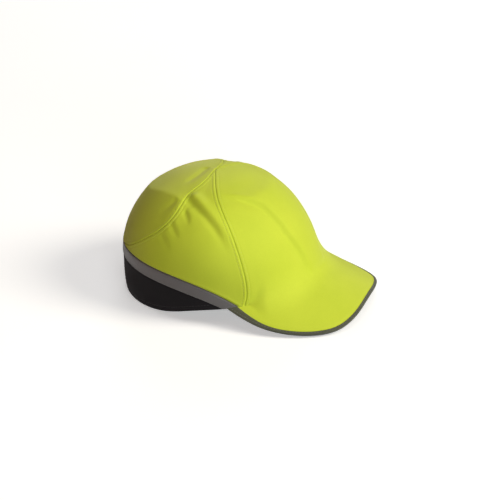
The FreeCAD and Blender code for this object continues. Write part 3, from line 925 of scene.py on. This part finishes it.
def make_front_panel():
    """Crown front and peak top in one cloth, with a soft hollow where they meet."""
    grid, on_top, roots = front_grids()
    side = np.abs(2 * eased(FRONT_COLUMNS) - 1)
    hollow = HOLLOW_MIDDLE + (HOLLOW_SIDE - HOLLOW_MIDDLE) * smooth_step(side / 0.5)
    hollow = hollow * smooth_step((1 - side) / 0.22)

    crown_outer, crown_inner, near = crown_cloth(grid)
    shift = crown_shift(grid, hollow)
    crown_outer, crown_inner = crown_outer + shift, crown_inner + shift

    up = peak_normal(on_top)
    from_edge = np.linalg.norm(on_top - on_top[-1:], axis=2)
    shift = peak_shift(on_top, hollow)
    peak_outer = on_top + up * profile(from_edge, PEAK_HEM)[..., None] + shift
    peak_inner = on_top - up * PEAK_CLOTH + shift

    outer = np.concatenate([widen(crown_outer), peak_outer])
    inner = np.concatenate([widen(crown_inner), peak_inner])
    keep = np.ones((len(outer) - 1, outer.shape[1] - 1), bool)
    for columns in (slice(0, CORNER_COLUMNS), slice(-CORNER_COLUMNS, None)):
        outer[CROWN_ROWS - 1, columns] = roots[columns]
        inner[CROWN_ROWS - 1, columns] = roots[columns] - np.array([0, 0, PEAK_CLOTH])
        keep[:CROWN_ROWS - 1, columns] = False
    inside = slice(CORNER_COLUMNS, -CORNER_COLUMNS)
    # Painted shade: darker near the seams, and in a thin line along the peak binding.
    close = np.zeros(outer.shape[:2])
    close[:CROWN_ROWS, inside] = closeness(near, SEAM_SHADE)
    close[CROWN_ROWS:] = closeness(np.maximum(0, from_edge - 2.6), 0.7)
    item = skin("front_cloth", outer, inner, hi_vis, keep=keep, near=close)
    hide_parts("front_panel")
    declare_sheet(outer[:, inside])


def hollow_shift(gap, size, own, other):
    """How far cloth near the corner of two surfaces moves out of it."""
    size = np.maximum(size, 1e-6)
    close = np.clip(1 - gap / size, 0, 1)
    weight = close[..., None] / 2
    direction = own * (1 - weight) + other * weight
    slope = np.maximum(np.linalg.norm(direction, axis=-1), 0.3)
    return unit(direction) * (size / 4 * close ** 2 / slope)[..., None]


def make_seam_stitches():
    """Two rows of stitches beside each seam of the cover."""
    rows = []
    for line in seams:
        points = crown(line)
        ahead = unit(np.gradient(points, axis=0))
        side = unit(np.cross(ahead, crown_normal(line)))
        for distance in (-STITCH_ROW, STITCH_ROW):
            row = shifted(line, side, distance)[8:]
            base = crown(row)
            row = row[base[:, 2] > stripe_height(base[:, 1]) + 1.5]
            rows.append((cover(row, THREAD_LIFT), crown_normal(row)))
    made = stitches("seam_stitches", rows, hi_vis_thread)


# ---------------------------------------------------------------- stripe and black panels

# Rows of the tape's grid from its upper edge, closer together near both edges.
STRIPE_ROWS = np.array([0, 0.25, 0.7, 1.3, 2.2, 4, 6, 7, 8, 10, 11.8, 12.7, 13.3, 13.75, 14])
STRIPE_PROFILE = [(0, -0.9), (0.3, 0.1), (0.8, 0.48), (1.5, 0.36), (2.2, 0.5), (3.2, 0.5)]
STRIPE_NARROWEST = 0.4
STRIPE_ROW = 1.6


def make_stripe():
    """Reflective tape from one side of the peak round the back to the other."""
    turns = np.linspace(front_turn, -2 * math.pi - front_turn, 420)
    top, low = stripe_top(turns), rim(turns)
    bottom = np.maximum(top - STRIPE_WIDTH, low)
    keep = top - bottom > STRIPE_NARROWEST
    turns, top, bottom = turns[keep], top[keep], bottom[keep]
    shares = STRIPE_ROWS[:, None] / STRIPE_WIDTH
    z = top + (bottom - top) * shares
    spread = np.broadcast_to(turns, z.shape)
    plan = plan_of(spread, z)
    base, up = crown(plan), crown_normal(plan)
    from_edge = np.minimum(shares, 1 - shares) * (top - bottom)
    pucker = 0.06 * np.sin(lengths(base[0]) * 2 * math.pi / 6.5) * closeness(from_edge - STRIPE_ROW, 1.2)
    height = profile(from_edge, STRIPE_PROFILE) + pucker + 0.5 * ripple(base)
    outer = base + up * height[..., None]
    inner = base - up * COVER_THICKNESS
    # Painted shade: the tape is darker along both of its edges.
    item = skin("stripe_tape", outer, inner, stripe_cloth, near=closeness(from_edge, 0.5))
    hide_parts("reflective_stripe")
    declare_sheet(outer)
    rows = []
    wide = top - bottom > 5
    for height in (top - STRIPE_ROW, bottom + STRIPE_ROW):
        row = plan_of(turns[wide], height[wide])
        normals = crown_normal(row)
        rows.append((crown(row) + normals * 0.45, normals))
    made = stitches("stripe_stitches", rows, grey_thread, radius=0.26)


ARCH_HALF_WIDTH, ARCH_HEIGHT = 34.0, 36.0
ARCH_SHARE = 0.7
BLACK_COLUMNS, BLACK_ROWS = 150, 40
LOWER_BULGE = 1.8
# Height of the black cloth by distance from any edge, and what its hem adds by distance from the rim.
BLACK_EDGE = [(0, -0.7), (0.5, -0.15), (1.1, 0.02), (1.8, 0.05)]
BLACK_HEM = [(2, 0.18), (5.4, 0.25), (6.2, -0.12), (7.0, 0.15), (12, 0.0)]
HEM_ROW = 6.2


def rear_point(x, z):
    """Turn of the form's rear point at a place across, at a height."""
    return math.pi - np.arcsin(np.clip(x / reach(CROWN_HEIGHT - z, **SIDE), -1, 1))


def lower_fullness(points):
    """How far the black cloth swells and ripples over the sweatband."""
    swell = LOWER_BULGE * np.exp(-((points[..., 2] - 14) / 15) ** 2)
    behind = smooth_step((points[..., 1] - 35) / 45)
    beside_arch = smooth_step((np.abs(points[..., 0]) - 38) / 20)
    return 0.8 * ripple(points) + swell * behind * beside_arch


def lower_edges():
    """Turns and heights of the black panel's upper and lower edge, and where the arch starts."""
    turns = np.linspace(-front_turn, math.pi, 900)
    top, low = stripe_top(turns) - STRIPE_WIDTH, rim(turns)
    start = turns[np.argmax(top - low > 0.3)]
    foot = float(rear_point(np.array(ARCH_HALF_WIDTH), 0.0))
    meet = foot - 0.16
    share = np.linspace(0, 1, BLACK_COLUMNS)
    even = np.clip(share / ARCH_SHARE, 0, 1)
    beyond = (share - ARCH_SHARE) / (1 - ARCH_SHARE)
    swing = np.clip(beyond, 0, 1) * math.pi / 2
    arch_z = ARCH_HEIGHT * np.sin(swing)
    low_turn = start + (foot - start) * even
    low_z = np.where(share > ARCH_SHARE, arch_z, np.interp(low_turn, turns, low))
    arch_turn = rear_point(ARCH_HALF_WIDTH * np.cos(swing), arch_z)
    low_turn = np.where(share > ARCH_SHARE, arch_turn, low_turn)
    top_turn = np.where(share < ARCH_SHARE, start + (meet - start) * even, meet + (math.pi - meet) * beyond)
    return top_turn, np.interp(top_turn, turns, top), low_turn, low_z, share < ARCH_SHARE - 0.02


def hem_stitches(side, name, turn, z):
    """Row of stitches that holds the turned-up hem of a black panel."""
    plan = plan_of(turn * side, z + HEM_ROW)[8:]
    row, normals = crown(plan), crown_normal(plan)
    row = row + normals * (lower_fullness(row) + THREAD_LIFT)[:, None]
    made = stitches(f"hem_stitches_{name}", [(row, normals)], black_thread)


def make_lower_panels():
    """Black cloth below the stripe on each side, ending at the arch."""
    top_turn, top_z, low_turn, low_z, hemmed = lower_edges()
    down = eased(BLACK_ROWS, 0.7)[:, None]
    spread = top_turn + (low_turn - top_turn) * down
    z = top_z + (low_z - top_z) * down
    for side, name in ((-1, "right"), (1, "left")):
        plan = plan_of(spread * side, z)
        base, up = crown(plan), crown_normal(plan)
        from_rim, from_top = nearest(base, base[-1])[0], nearest(base, base[0])[0]
        from_edge = np.minimum(from_rim, from_top)
        hem = profile(from_rim, BLACK_HEM) * (from_rim > 1.8)
        height = profile(from_edge, BLACK_EDGE) + hem + lower_fullness(base)
        outer = base + up * height[..., None]
        inner = base - up * COVER_THICKNESS
        for points in (outer, inner):
            points[..., 2] = np.maximum(points[..., 2], 0.0)
        # Painted shade: the black cloth is darker along its edges.
        item = skin(f"lower_cloth_{name}", outer, inner, black_cloth, near=closeness(from_edge, 0.7))
        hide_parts(f"rear_lower_panel_{name}")
        declare_sheet(outer)
        hem_stitches(side, name, low_turn[hemmed], low_z[hemmed])


def make_arch_binding():
    """Tape folded over the arch's edge, stitched."""
    swing = np.linspace(0.0, math.pi, 140)
    x, z = -ARCH_HALF_WIDTH * np.cos(swing), ARCH_HEIGHT * np.sin(swing)
    plan = plan_of(rear_point(x, z), z)
    path, up = crown(plan), crown_normal(plan)
    ahead = unit(np.gradient(path, axis=0))
    into = unit(np.cross(ahead, up))
    into *= np.sign((into * (path * [0, 1, 0] + [0, 0, 8.0] - path)).sum(1))[:, None]
    section = [(-3.0, 0.1), (-2.9, 0.5), (-2.2, 0.68), (-1.2, 0.5), (0.2, 0.66), (1.3, 0.4), (1.9, -0.2),
               (2.0, -0.9), (1.7, -1.5), (0.8, -1.85), (-0.6, -1.88), (-2.2, -1.85), (-2.9, -1.7),
               (-3.0, -1.3), (-0.5, -1.25), (0.2, -0.9), (0.2, -0.2), (-0.5, 0.05)]
    item = sweep("arch_tape", path, into, up, section, lining_tape)
    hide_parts("arch_binding")
    row = path[3:-3] - into[3:-3] * 1.5 + up[3:-3] * 0.62
    made = stitches("arch_stitches", [(row, up[3:-3])], black_thread)


# ---------------------------------------------------------------- peak

BINDING_FLAP = 3.4
PEAK_STACK = 3.9
UNDER_DEPTH, UNDER_THICKNESS = 3.8, 0.95
BINDING_SPREAD, BINDING_SPREAD_LENGTH = 2.0, 70.0


def widened(section, points):
    """The binding's section at each place, its top flap wider near the peak's back corners."""
    sections = np.repeat(np.array(section)[None], len(points), axis=0)
    far = lengths(points)
    from_end = np.minimum(far, far[-1] - far)
    extra = 1 + BINDING_SPREAD * (1 - smooth_step(from_end / BINDING_SPREAD_LENGTH))
    out, rise = sections[..., 0], sections[..., 1]
    flap = (out < -1.0) & (rise > -0.02)
    sections[..., 0] = np.where(flap, -1.0 + (out + 1.0) * extra[:, None], out)
    return sections


def make_peak_binding():
    """Grey tape round the edge of the peak, top and under cloth sewn inside it."""
    flat = peak_outline(0.0, 9.0)
    path = along(flat, np.linspace(0, 1, 300))
    ahead = unit(np.gradient(path, axis=0))
    outward = np.stack([-ahead[:, 1], ahead[:, 0], 0 * ahead[:, 0]], -1)
    centre = np.array([0.0, -90.0])
    outward *= np.sign(((path - centre) * outward[:, :2]).sum(1))[:, None]
    points = on_peak(path[:, 0], path[:, 1])
    up = peak_normal(points)
    outward = unit(outward - up * (outward * up).sum(1)[:, None])
    low = -PEAK_STACK
    section = [(-BINDING_FLAP, 0.0), (-BINDING_FLAP + 0.15, 0.35), (-2.5, 0.5), (-1.7, 0.38), (-1.0, 0.5),
               (-0.4, 0.38), (0.02, -0.05), (0.14, -0.9), (0.16, -2.0), (0.1, low + 0.8), (-0.1, low + 0.1),
               (-0.7, low - 0.4), (-1.6, low - 0.45), (-2.6, low - 0.45), (-BINDING_FLAP, low - 0.2),
               (-BINDING_FLAP, low + 0.1), (-1.2, low + 0.1), (-0.9, low + 0.9), (-0.9, -0.9), (-1.2, -0.05)]
    item = sweep("peak_edge_tape", points, outward, up, widened(section, points), binding_cloth)
    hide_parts("peak_binding")
    inside = slice(10, -10)
    rows = []
    for height in (0.48, low - 0.46):
        line = points - outward * 2.1 + up * height
        rows.append((line[inside], up[inside] * (1 if height > 0 else -1)))
    made = stitches("peak_edge_stitches", rows, grey_thread, radius=0.26)


def make_peak_under():
    """Black cloth under the peak."""
    corner = root_turns()
    turns = np.linspace(-corner + 0.02, corner - 0.02, 90)
    roots = level(turns, settle(turns, peak_height)) * np.array([1.004, 1.004, 1.0])
    shares = np.linspace(0, 1, 30)[:, None, None]
    flat = roots[None, :, :2] * (1 - shares) + peak_ends(roots, 1.2)[None] * shares
    top = on_peak(flat[..., 0], flat[..., 1])
    up = peak_normal(top)
    outer = top - up * UNDER_DEPTH
    inner = outer + up * UNDER_THICKNESS
    item = skin("peak_under_cloth_panel", outer, inner, black_cloth)
    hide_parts("peak_under_cloth")
    declare_sheet(outer)


# ---------------------------------------------------------------- inside

def inside_point(plan, inset):
    """Point of the form moved in along its own normal."""
    return crown(plan) - crown_normal(plan) * np.asarray(inset)[..., None]


TAPE_SECTION = [(-5.8, -1.5), (-5.6, -1.42), (0, -1.4), (5.6, -1.42), (5.8, -1.5),
                (5.8, -1.9), (5.5, -2.0), (0, -2.0), (-5.5, -2.0), (-5.8, -1.9)]
TAPE_TOP, FRONT_TAPE_LOW, REAR_TAPE_LOW = 121.0, 36.0, 58.0


def seam_tape(kind, side, plan, low):
    """Tape over one seam's allowances, inside the cover."""
    points = crown(plan)
    keep = (points[:, 2] > low) & (points[:, 2] < TAPE_TOP)
    shares = np.linspace(0, 1, 70)
    plan, points = along(plan[keep], shares), along(points[keep], shares)
    up = crown_normal(plan)
    out = unit(np.cross(unit(np.gradient(points, axis=0)), up))
    item = sweep(f"{kind}_tape_{side}", points, out, up, TAPE_SECTION, lining_tape)
    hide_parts(f"{kind}_seam_tape_{side}")


def make_seam_tapes():
    """Four seam tapes, front and rear on each side."""
    for kind, line, low in (("front", front_seam, FRONT_TAPE_LOW), ("rear", rear_seam, REAR_TAPE_LOW)):
        seam_tape(kind, "right", line, low)
        seam_tape(kind, "left", line * MIRROR, low)


PAD_TOP, PAD_DEPTH = 4.9, 4.8
PAD_LINES = 26
# Pads by node: middle turn, half turn, lowest and highest height.
BAND_PADS = {
    "front_pad": (0.0, 0.44, 68, 103),
    "rear_pad": (math.pi, 0.38, 51, 97),
    "side_pad_right": (-math.pi / 2, 0.33, 53, 97),
    "side_pad_left": (math.pi / 2, 0.33, 53, 97),
}
CROWN_PAD = (33.0, 37.0)
CROWN_PAD_GUESS = 160.0


def pad_shares():
    """Shares across a pad, closer together near its edges."""
    even = np.linspace(-1, 1, PAD_LINES)
    return 0.5 * even + 0.5 * np.sin(even * math.pi / 2)


def pad_outline(u, v, corner=0.22):
    """Square of shares with round corners and slightly drawn-in sides."""
    wide = 1 - 0.035 * (1 - np.abs(v) ** 2) - corner * 0.3 * np.abs(v) ** 8
    tall = 1 - 0.035 * (1 - np.abs(u) ** 2) - corner * 0.3 * np.abs(u) ** 8
    return u * wide, v * tall


def pad_depth(u, v):
    """How thick a pad is, as a share, from its rounded edge to its crowned middle."""
    edge = np.clip((1 - np.abs(u) ** 7) * (1 - np.abs(v) ** 7), 0, 1) ** 0.4
    return edge * (0.86 + 0.14 * (1 - u * u) * (1 - v * v))


def pad(name, plan, u, v, node):
    """Crowned foam pad under the shell over a plan grid."""
    depth = pad_depth(u, v)
    outer = inside_point(plan, PAD_TOP + 0.5 * (1 - depth))
    inner = inside_point(plan, PAD_TOP + 0.6 + (PAD_DEPTH - 0.6) * depth)
    item = skin(name, outer, inner, foam)
    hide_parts(node)


def make_pads():
    """Four pads round the shell and one in its crown, found on the form from its plan size."""
    u, v = np.meshgrid(pad_shares(), pad_shares())
    a, b = pad_outline(u, v)
    for node, (middle, half, low, high) in BAND_PADS.items():
        turn = middle + a * half
        z = (low + high) / 2 - b * (high - low) / 2
        pad(f"{node}_foam", plan_of(turn, z), u, v, node)
    x, y = a * CROWN_PAD[0], b * CROWN_PAD[1]
    plan = np.stack([x, y], -1) / CROWN_PAD_GUESS + 1e-5
    for _ in range(8):
        gap = np.stack([x, y, 0 * x], -1) - crown(plan)
        gap[..., 2] = 0
        plan = shifted(plan, gap, 1.0)
    pad("crown_pad_foam", plan, u, v, "crown_pad")


# Section of the band as (inset from the form, height over the rim), and the inset of its middle.
BAND_SECTION = [(1.6, 0.7), (1.6, 2.6), (2.0, 3.8), (4.6, 4.8), (5.5, 7.0), (5.5, 14), (5.5, 22),
                (5.6, 27.5), (6.1, 29.4), (7.0, 29.9), (7.9, 29.3), (8.35, 27.5), (8.4, 22),
                (8.4, 14), (8.4, 8), (8.2, 4.0), (7.6, 1.6), (6.4, 0.8), (4.0, 0.6)]
BAND_MIDDLE = 6.9
BAND_HALF_GAP = 70.0


def make_sweatband():
    """Towelling band round the brow, open at the back, its inner face slightly uneven."""
    end = float(rear_point(np.array(BAND_HALF_GAP), 15.0))
    turns = np.linspace(-end, end, 300)
    low = rim(turns) + 0.4
    inset, rise = np.array(BAND_SECTION).T
    z = low[:, None] + rise
    spread = np.broadcast_to(turns[:, None], z.shape)
    plan = plan_of(spread, z)
    fuzz = 0.12 * np.sin(spread * 310 + 3 * np.sin(z * 1.7)) * np.sin(z * 2.3)
    taper = np.minimum(1, (end - np.abs(turns)) / 0.04)[:, None]
    used = BAND_MIDDLE + (inset - BAND_MIDDLE) * (0.55 + 0.45 * np.sqrt(taper))
    points = inside_point(plan, used + fuzz * (inset > 5))
    item = build("sweatband_towelling", points, tube_faces(len(turns), len(BAND_SECTION)), towelling)
    outwards(item)
    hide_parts("sweatband")
    plan = plan_of(turns[4:-4], low[4:-4] + 3.4)
    row = (inside_point(plan, np.full(len(plan), 8.55)), -crown_normal(plan))
    made = stitches("sweatband_stitches", [row], black_thread)


def make_label():
    """Blank woven label on the sweatband, its ends turned under and stitched."""
    low, high = [np.array(corner) / MM - np.array([0, AXIS_Y, 0]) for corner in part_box("size_label")]
    z = np.linspace(high[2] - 0.2, low[2] + 0.2, 14)[:, None] + np.zeros((1, 24))
    y = np.linspace(low[1] + 0.3, high[1] - 0.3, 24)[None] + np.zeros((14, 1))
    turn = math.pi - np.arccos(np.clip(y / reach(CROWN_HEIGHT - z, **REAR), -1, 1))
    plan = plan_of(turn, z)
    u, v = np.linspace(-1, 1, 24)[None], np.linspace(-1, 1, 14)[:, None]
    fall = 0.16 * np.maximum(np.abs(u) ** 14, np.abs(v) ** 14)
    outer = inside_point(plan, 8.92 - fall)
    inner = inside_point(plan, 8.58 + 0 * fall)
    item = skin("size_label_cloth", outer, inner, label_cloth)
    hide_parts("size_label")
    rows = [(outer[1:-1, column], -crown_normal(plan[1:-1, column])) for column in (1, -2)]
    made = stitches("label_stitches", rows, black_thread, pitch=2.0, radius=0.16)


# ---------------------------------------------------------------- closing strap

STRAP_RADIUS = 84.0
STRAP_REAR = 104.9
STRAP_CENTRE_Y = STRAP_REAR - STRAP_RADIUS
STRAP_LOW, STRAP_HIGH = 6.0, 26.0
STRAP_TALL, STRAP_MIDDLE = STRAP_HIGH - STRAP_LOW, (STRAP_LOW + STRAP_HIGH) / 2
STRAP_THICK = 1.2
# Hook and loop tape, and the outer radius of each layer under the hook strap.
TAPE_THICK, TAPE_TALL = 0.8, 18.0
HOOK_OUTER = STRAP_RADIUS - STRAP_THICK - 0.1
LOOP_OUTER = HOOK_OUTER - TAPE_THICK - 0.4
BAND_OUTER = LOOP_OUTER - TAPE_THICK - 0.1
STITCH_ON_STRAP = STRAP_RADIUS + 0.02
FOLD_X, TAB_X = -8.0, 20.0
SLEEVE_WALL = 0.7


def strap_path(start, end, radius, count):
    """Points and outward directions along the strap's arc between two places across."""
    angles = np.linspace(math.asin(start / STRAP_RADIUS), math.asin(end / STRAP_RADIUS), count)
    outward = np.stack([np.sin(angles), np.cos(angles), 0 * angles], -1)
    return np.array([0, STRAP_CENTRE_Y, STRAP_MIDDLE]) + outward * radius, outward


def ribbon_section(thick, tall):
    """Flat webbing section with full rounded selvedges and shallow ribs."""
    upper = [(0.2, 1), (0.75, 0.965), (1, 0.9), (0.9, 0.7), (0.94, 0.5), (0.9, 0.25)]
    lower = [(bulge, -height) for bulge, height in reversed(upper)]
    front = [(bulge * thick / 2, height * tall / 2) for bulge, height in upper + [(0.94, 0)] + lower]
    back = [(-out, up) for out, up in reversed(front)]
    return front + back


def ribbon(name, start, end, radius, thick, tall, material, count=90, body=ROOT_BODY, square=False):
    """Strip on the strap's arc with its outer face at a radius."""
    centres, outward = strap_path(start, end, radius - thick / 2, count)
    upward = np.tile([0.0, 0.0, 1.0], (count, 1))
    shape = rounded(thick / 2, tall / 2, thick * 0.35) if square else ribbon_section(thick, tall)
    section = np.repeat(np.array(shape)[None], count, axis=0)
    if not square:
        weave = 1 + 0.07 * np.sin(lengths(centres) * 2 * math.pi / 2.6)
        section[..., 0] *= weave[:, None]
    squeeze = np.minimum(1, 0.35 + np.minimum(np.arange(count), np.arange(count)[::-1]) * 0.5)
    section = section * np.stack([squeeze, 0.97 + 0.03 * squeeze], -1)[:, None]
    return sweep(name, centres, outward, upward, section, material, body)


def upright_rows(columns):
    """Upright stitch rows across the strap at places along it."""
    rows = []
    for x in columns:
        centres, outward = strap_path(x - 0.01, x + 0.01, STITCH_ON_STRAP, 2)
        centres[:] = centres[0]
        centres[:, 2] = STRAP_LOW + 1.6, STRAP_HIGH - 1.6
        rows.append((centres, np.repeat(outward[:1], 2, axis=0)))
    return rows


def long_rows(start, end, margin):
    """Stitch rows along the strap, at a margin from its lower and its upper edge."""
    rows = []
    for z in (STRAP_LOW + margin, STRAP_HIGH - margin):
        centres, outward = strap_path(start, end, STITCH_ON_STRAP, 24)
        centres[:, 2] = z
        rows.append((centres, outward))
    return rows


def make_hook_strap():
    """Hook strap with its peel tab as one webbing, and the hook tape under the tab."""
    strap = ribbon("hook_webbing", -58, TAB_X, STRAP_RADIUS, STRAP_THICK, STRAP_TALL, webbing, 150, body=None)
    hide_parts("hook_strap")
    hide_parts("strap_tab")
    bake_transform(strap)
    rows = long_rows(-5.0, 18.6, 1.7) + upright_rows((-5.0, 18.4))
    made = stitches("tab_stitches", rows, black_thread, pitch=2.6, radius=0.24, body="strap_tab")
    patch = ribbon("hook_tape_patch", -6.6, 18.8, HOOK_OUTER, TAPE_THICK, TAPE_TALL, hooks, 60,
                   "strap_tab", True)
    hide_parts("hook_patch")


def make_loop_strap():
    """Loop strap that the tab closes on, its end folded up flush with the hook strap and sewn."""
    patch = ribbon("loop_tape_patch", -24, 28, LOOP_OUTER, TAPE_THICK, TAPE_TALL, loops, 90, square=True)
    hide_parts("loop_patch")
    band = ribbon("loop_webbing", -28, 60, BAND_OUTER, STRAP_THICK, STRAP_TALL, webbing, 150)
    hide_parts("loop_strap")
    thick = STRAP_RADIUS - BAND_OUTER - 0.05
    fold = ribbon("loop_webbing_fold", 40.5, 60, STRAP_RADIUS, thick, STRAP_TALL, webbing, 40)
    rows = upright_rows((42.5, 57.0)) + long_rows(42.5, 57.0, 2.0)
    made = stitches("strap_end_stitches", rows, black_thread, pitch=2.6, radius=0.24)


def make_sleeve():
    """Flat fabric sleeve that the hook strap slides in."""
    low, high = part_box("strap_sleeve")
    bottom, top = low.z / MM, high.z / MM
    inner, outer = STRAP_RADIUS - STRAP_THICK - 0.35, STRAP_RADIUS + 0.3
    deep, wall, half = outer - inner, SLEEVE_WALL, STRAP_TALL / 2
    lip = min(STRAP_MIDDLE - bottom, top - STRAP_MIDDLE) - 0.1
    centres, outward = strap_path(-56.0, -41.2, inner, 30)
    upward = np.tile([0.0, 0.0, 1.0], (30, 1))
    section = [(0, half + 0.4), (0, -half - 0.4), (deep, -half - 0.45), (deep, -lip),
               (deep - wall, -lip), (-wall * 0.5, -lip + 0.8), (-wall, -half - 0.2), (-wall, 0),
               (-wall, half + 0.2), (-wall * 0.5, lip - 0.8), (deep - wall, lip),
               (deep, lip), (deep, half + 0.45)]
    item = sweep("strap_sleeve_cloth", centres, outward, upward, section, lining_tape)
    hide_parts("strap_sleeve")


def finish_plastics():
    """Plastic parts keep their own shapes and take a moulded finish."""
    for node, material in (("impact_shell", shell_plastic), ("peak_board", peak_plastic)):
        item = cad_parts[node]
        item.data.materials.clear()
        item.data.materials.append(material)
        item.data.polygons.foreach_set("material_index", [0] * len(item.data.polygons))


# ---------------------------------------------------------------- studio

VIEW_AZIMUTH, VIEW_ELEVATION = -69.1, 26.4
VIEW_DISTANCE = 1.5
VIEW_LENS = 101.7
VIEW_SHIFT = (0.0061, -0.0259)
AIM = Vector((0, 0, 0.06))
FLOOR_RADIUS = 1.7
FLOOR_GLOW = 0.42


def place(item, azimuth, elevation, distance):
    """Puts a camera or a light round the cap, looking at it."""
    a, e = math.radians(azimuth), math.radians(elevation)
    away = Vector((math.sin(a) * math.cos(e), -math.cos(a) * math.cos(e), math.sin(e)))
    item.location = AIM + away * distance
    item.rotation_euler = (AIM - item.location).to_track_quat("-Z", "Y").to_euler()
    bpy.context.scene.collection.objects.link(item)


def make_camera():
    """The photograph's view."""
    data = bpy.data.cameras.new("camera")
    data.lens = VIEW_LENS
    data.sensor_width = 36.0
    data.shift_x, data.shift_y = VIEW_SHIFT
    camera = bpy.data.objects.new("camera", data)
    place(camera, VIEW_AZIMUTH, VIEW_ELEVATION, VIEW_DISTANCE)
    bpy.context.scene.camera = camera


def make_light(name, azimuth, elevation, distance, size, power, colour=(1, 1, 1)):
    """Round soft light."""
    data = bpy.data.lights.new(name, "AREA")
    data.shape = "DISK"
    data.size = size
    data.energy = power
    data.color = colour
    place(bpy.data.objects.new(name, data), azimuth, elevation, distance)


def make_floor():
    """White floor that takes shadows and throws no light back."""
    look = Finish("studio_floor")
    paint = look.ramp(look.noise(look.solid(), 3.0, 2.0), [(0.3, 0.86), (0.7, 0.88)])
    look.shade(Base_Color=paint, Roughness=0.9, Emission_Color=(1, 1, 1), Emission_Strength=FLOOR_GLOW)
    mesh = bpy.data.meshes.new("floor")
    turns = np.linspace(0, 2 * math.pi, 97)[:-1]
    edge = np.stack([np.cos(turns), np.sin(turns), 0 * turns], -1) * FLOOR_RADIUS
    mesh.from_pydata(edge.tolist(), [], [tuple(range(len(edge)))])
    mesh.materials.append(look.material)
    floor = bpy.data.objects.new("floor", mesh)
    bpy.context.scene.collection.objects.link(floor)
    floor.visible_diffuse = False


def make_world():
    """Near-white surroundings for the camera that light the cap only faintly."""
    world = bpy.data.worlds.new("studio")
    world.use_nodes = True
    nodes, links = world.node_tree.nodes, world.node_tree.links
    background = nodes["Background"]
    background.inputs["Color"].default_value = (0.97, 0.985, 1.0, 1)
    path = nodes.new("ShaderNodeLightPath")
    strength = nodes.new("ShaderNodeMix")
    strength.inputs[2].default_value = 0.035
    strength.inputs[3].default_value = 1.0
    links.new(path.outputs["Is Camera Ray"], strength.inputs[0])
    links.new(strength.outputs[0], background.inputs["Strength"])
    bpy.context.scene.world = world
    bpy.context.scene.view_settings.view_transform = "Standard"


def make_studio():
    """Floor, lights and surroundings."""
    make_floor()
    make_light("key", 6, 36, 4.0, 2.0, 122, (1.0, 0.95, 0.84))
    make_light("side_fill", -55, 5, 3.0, 1.4, 50, (0.94, 0.99, 1.0))
    make_light("top", -40, 74, 3.0, 2.0, 16)
    make_light("rear_fill", -150, 14, 2.6, 1.6, 8, (1.0, 0.42, 0.18))
    make_light("far_fill", 112, 24, 3.0, 1.8, 22)
    make_world()


# ---------------------------------------------------------------- the cap

make_camera()
make_studio()
make_side_panels()
make_rear_top_panel()
make_front_panel()
make_seam_stitches()
make_stripe()
make_lower_panels()
make_arch_binding()
make_peak_binding()
make_peak_under()
make_seam_tapes()
make_pads()
make_sweatband()
make_label()
make_hook_strap()
make_loop_strap()
make_sleeve()
finish_plastics()
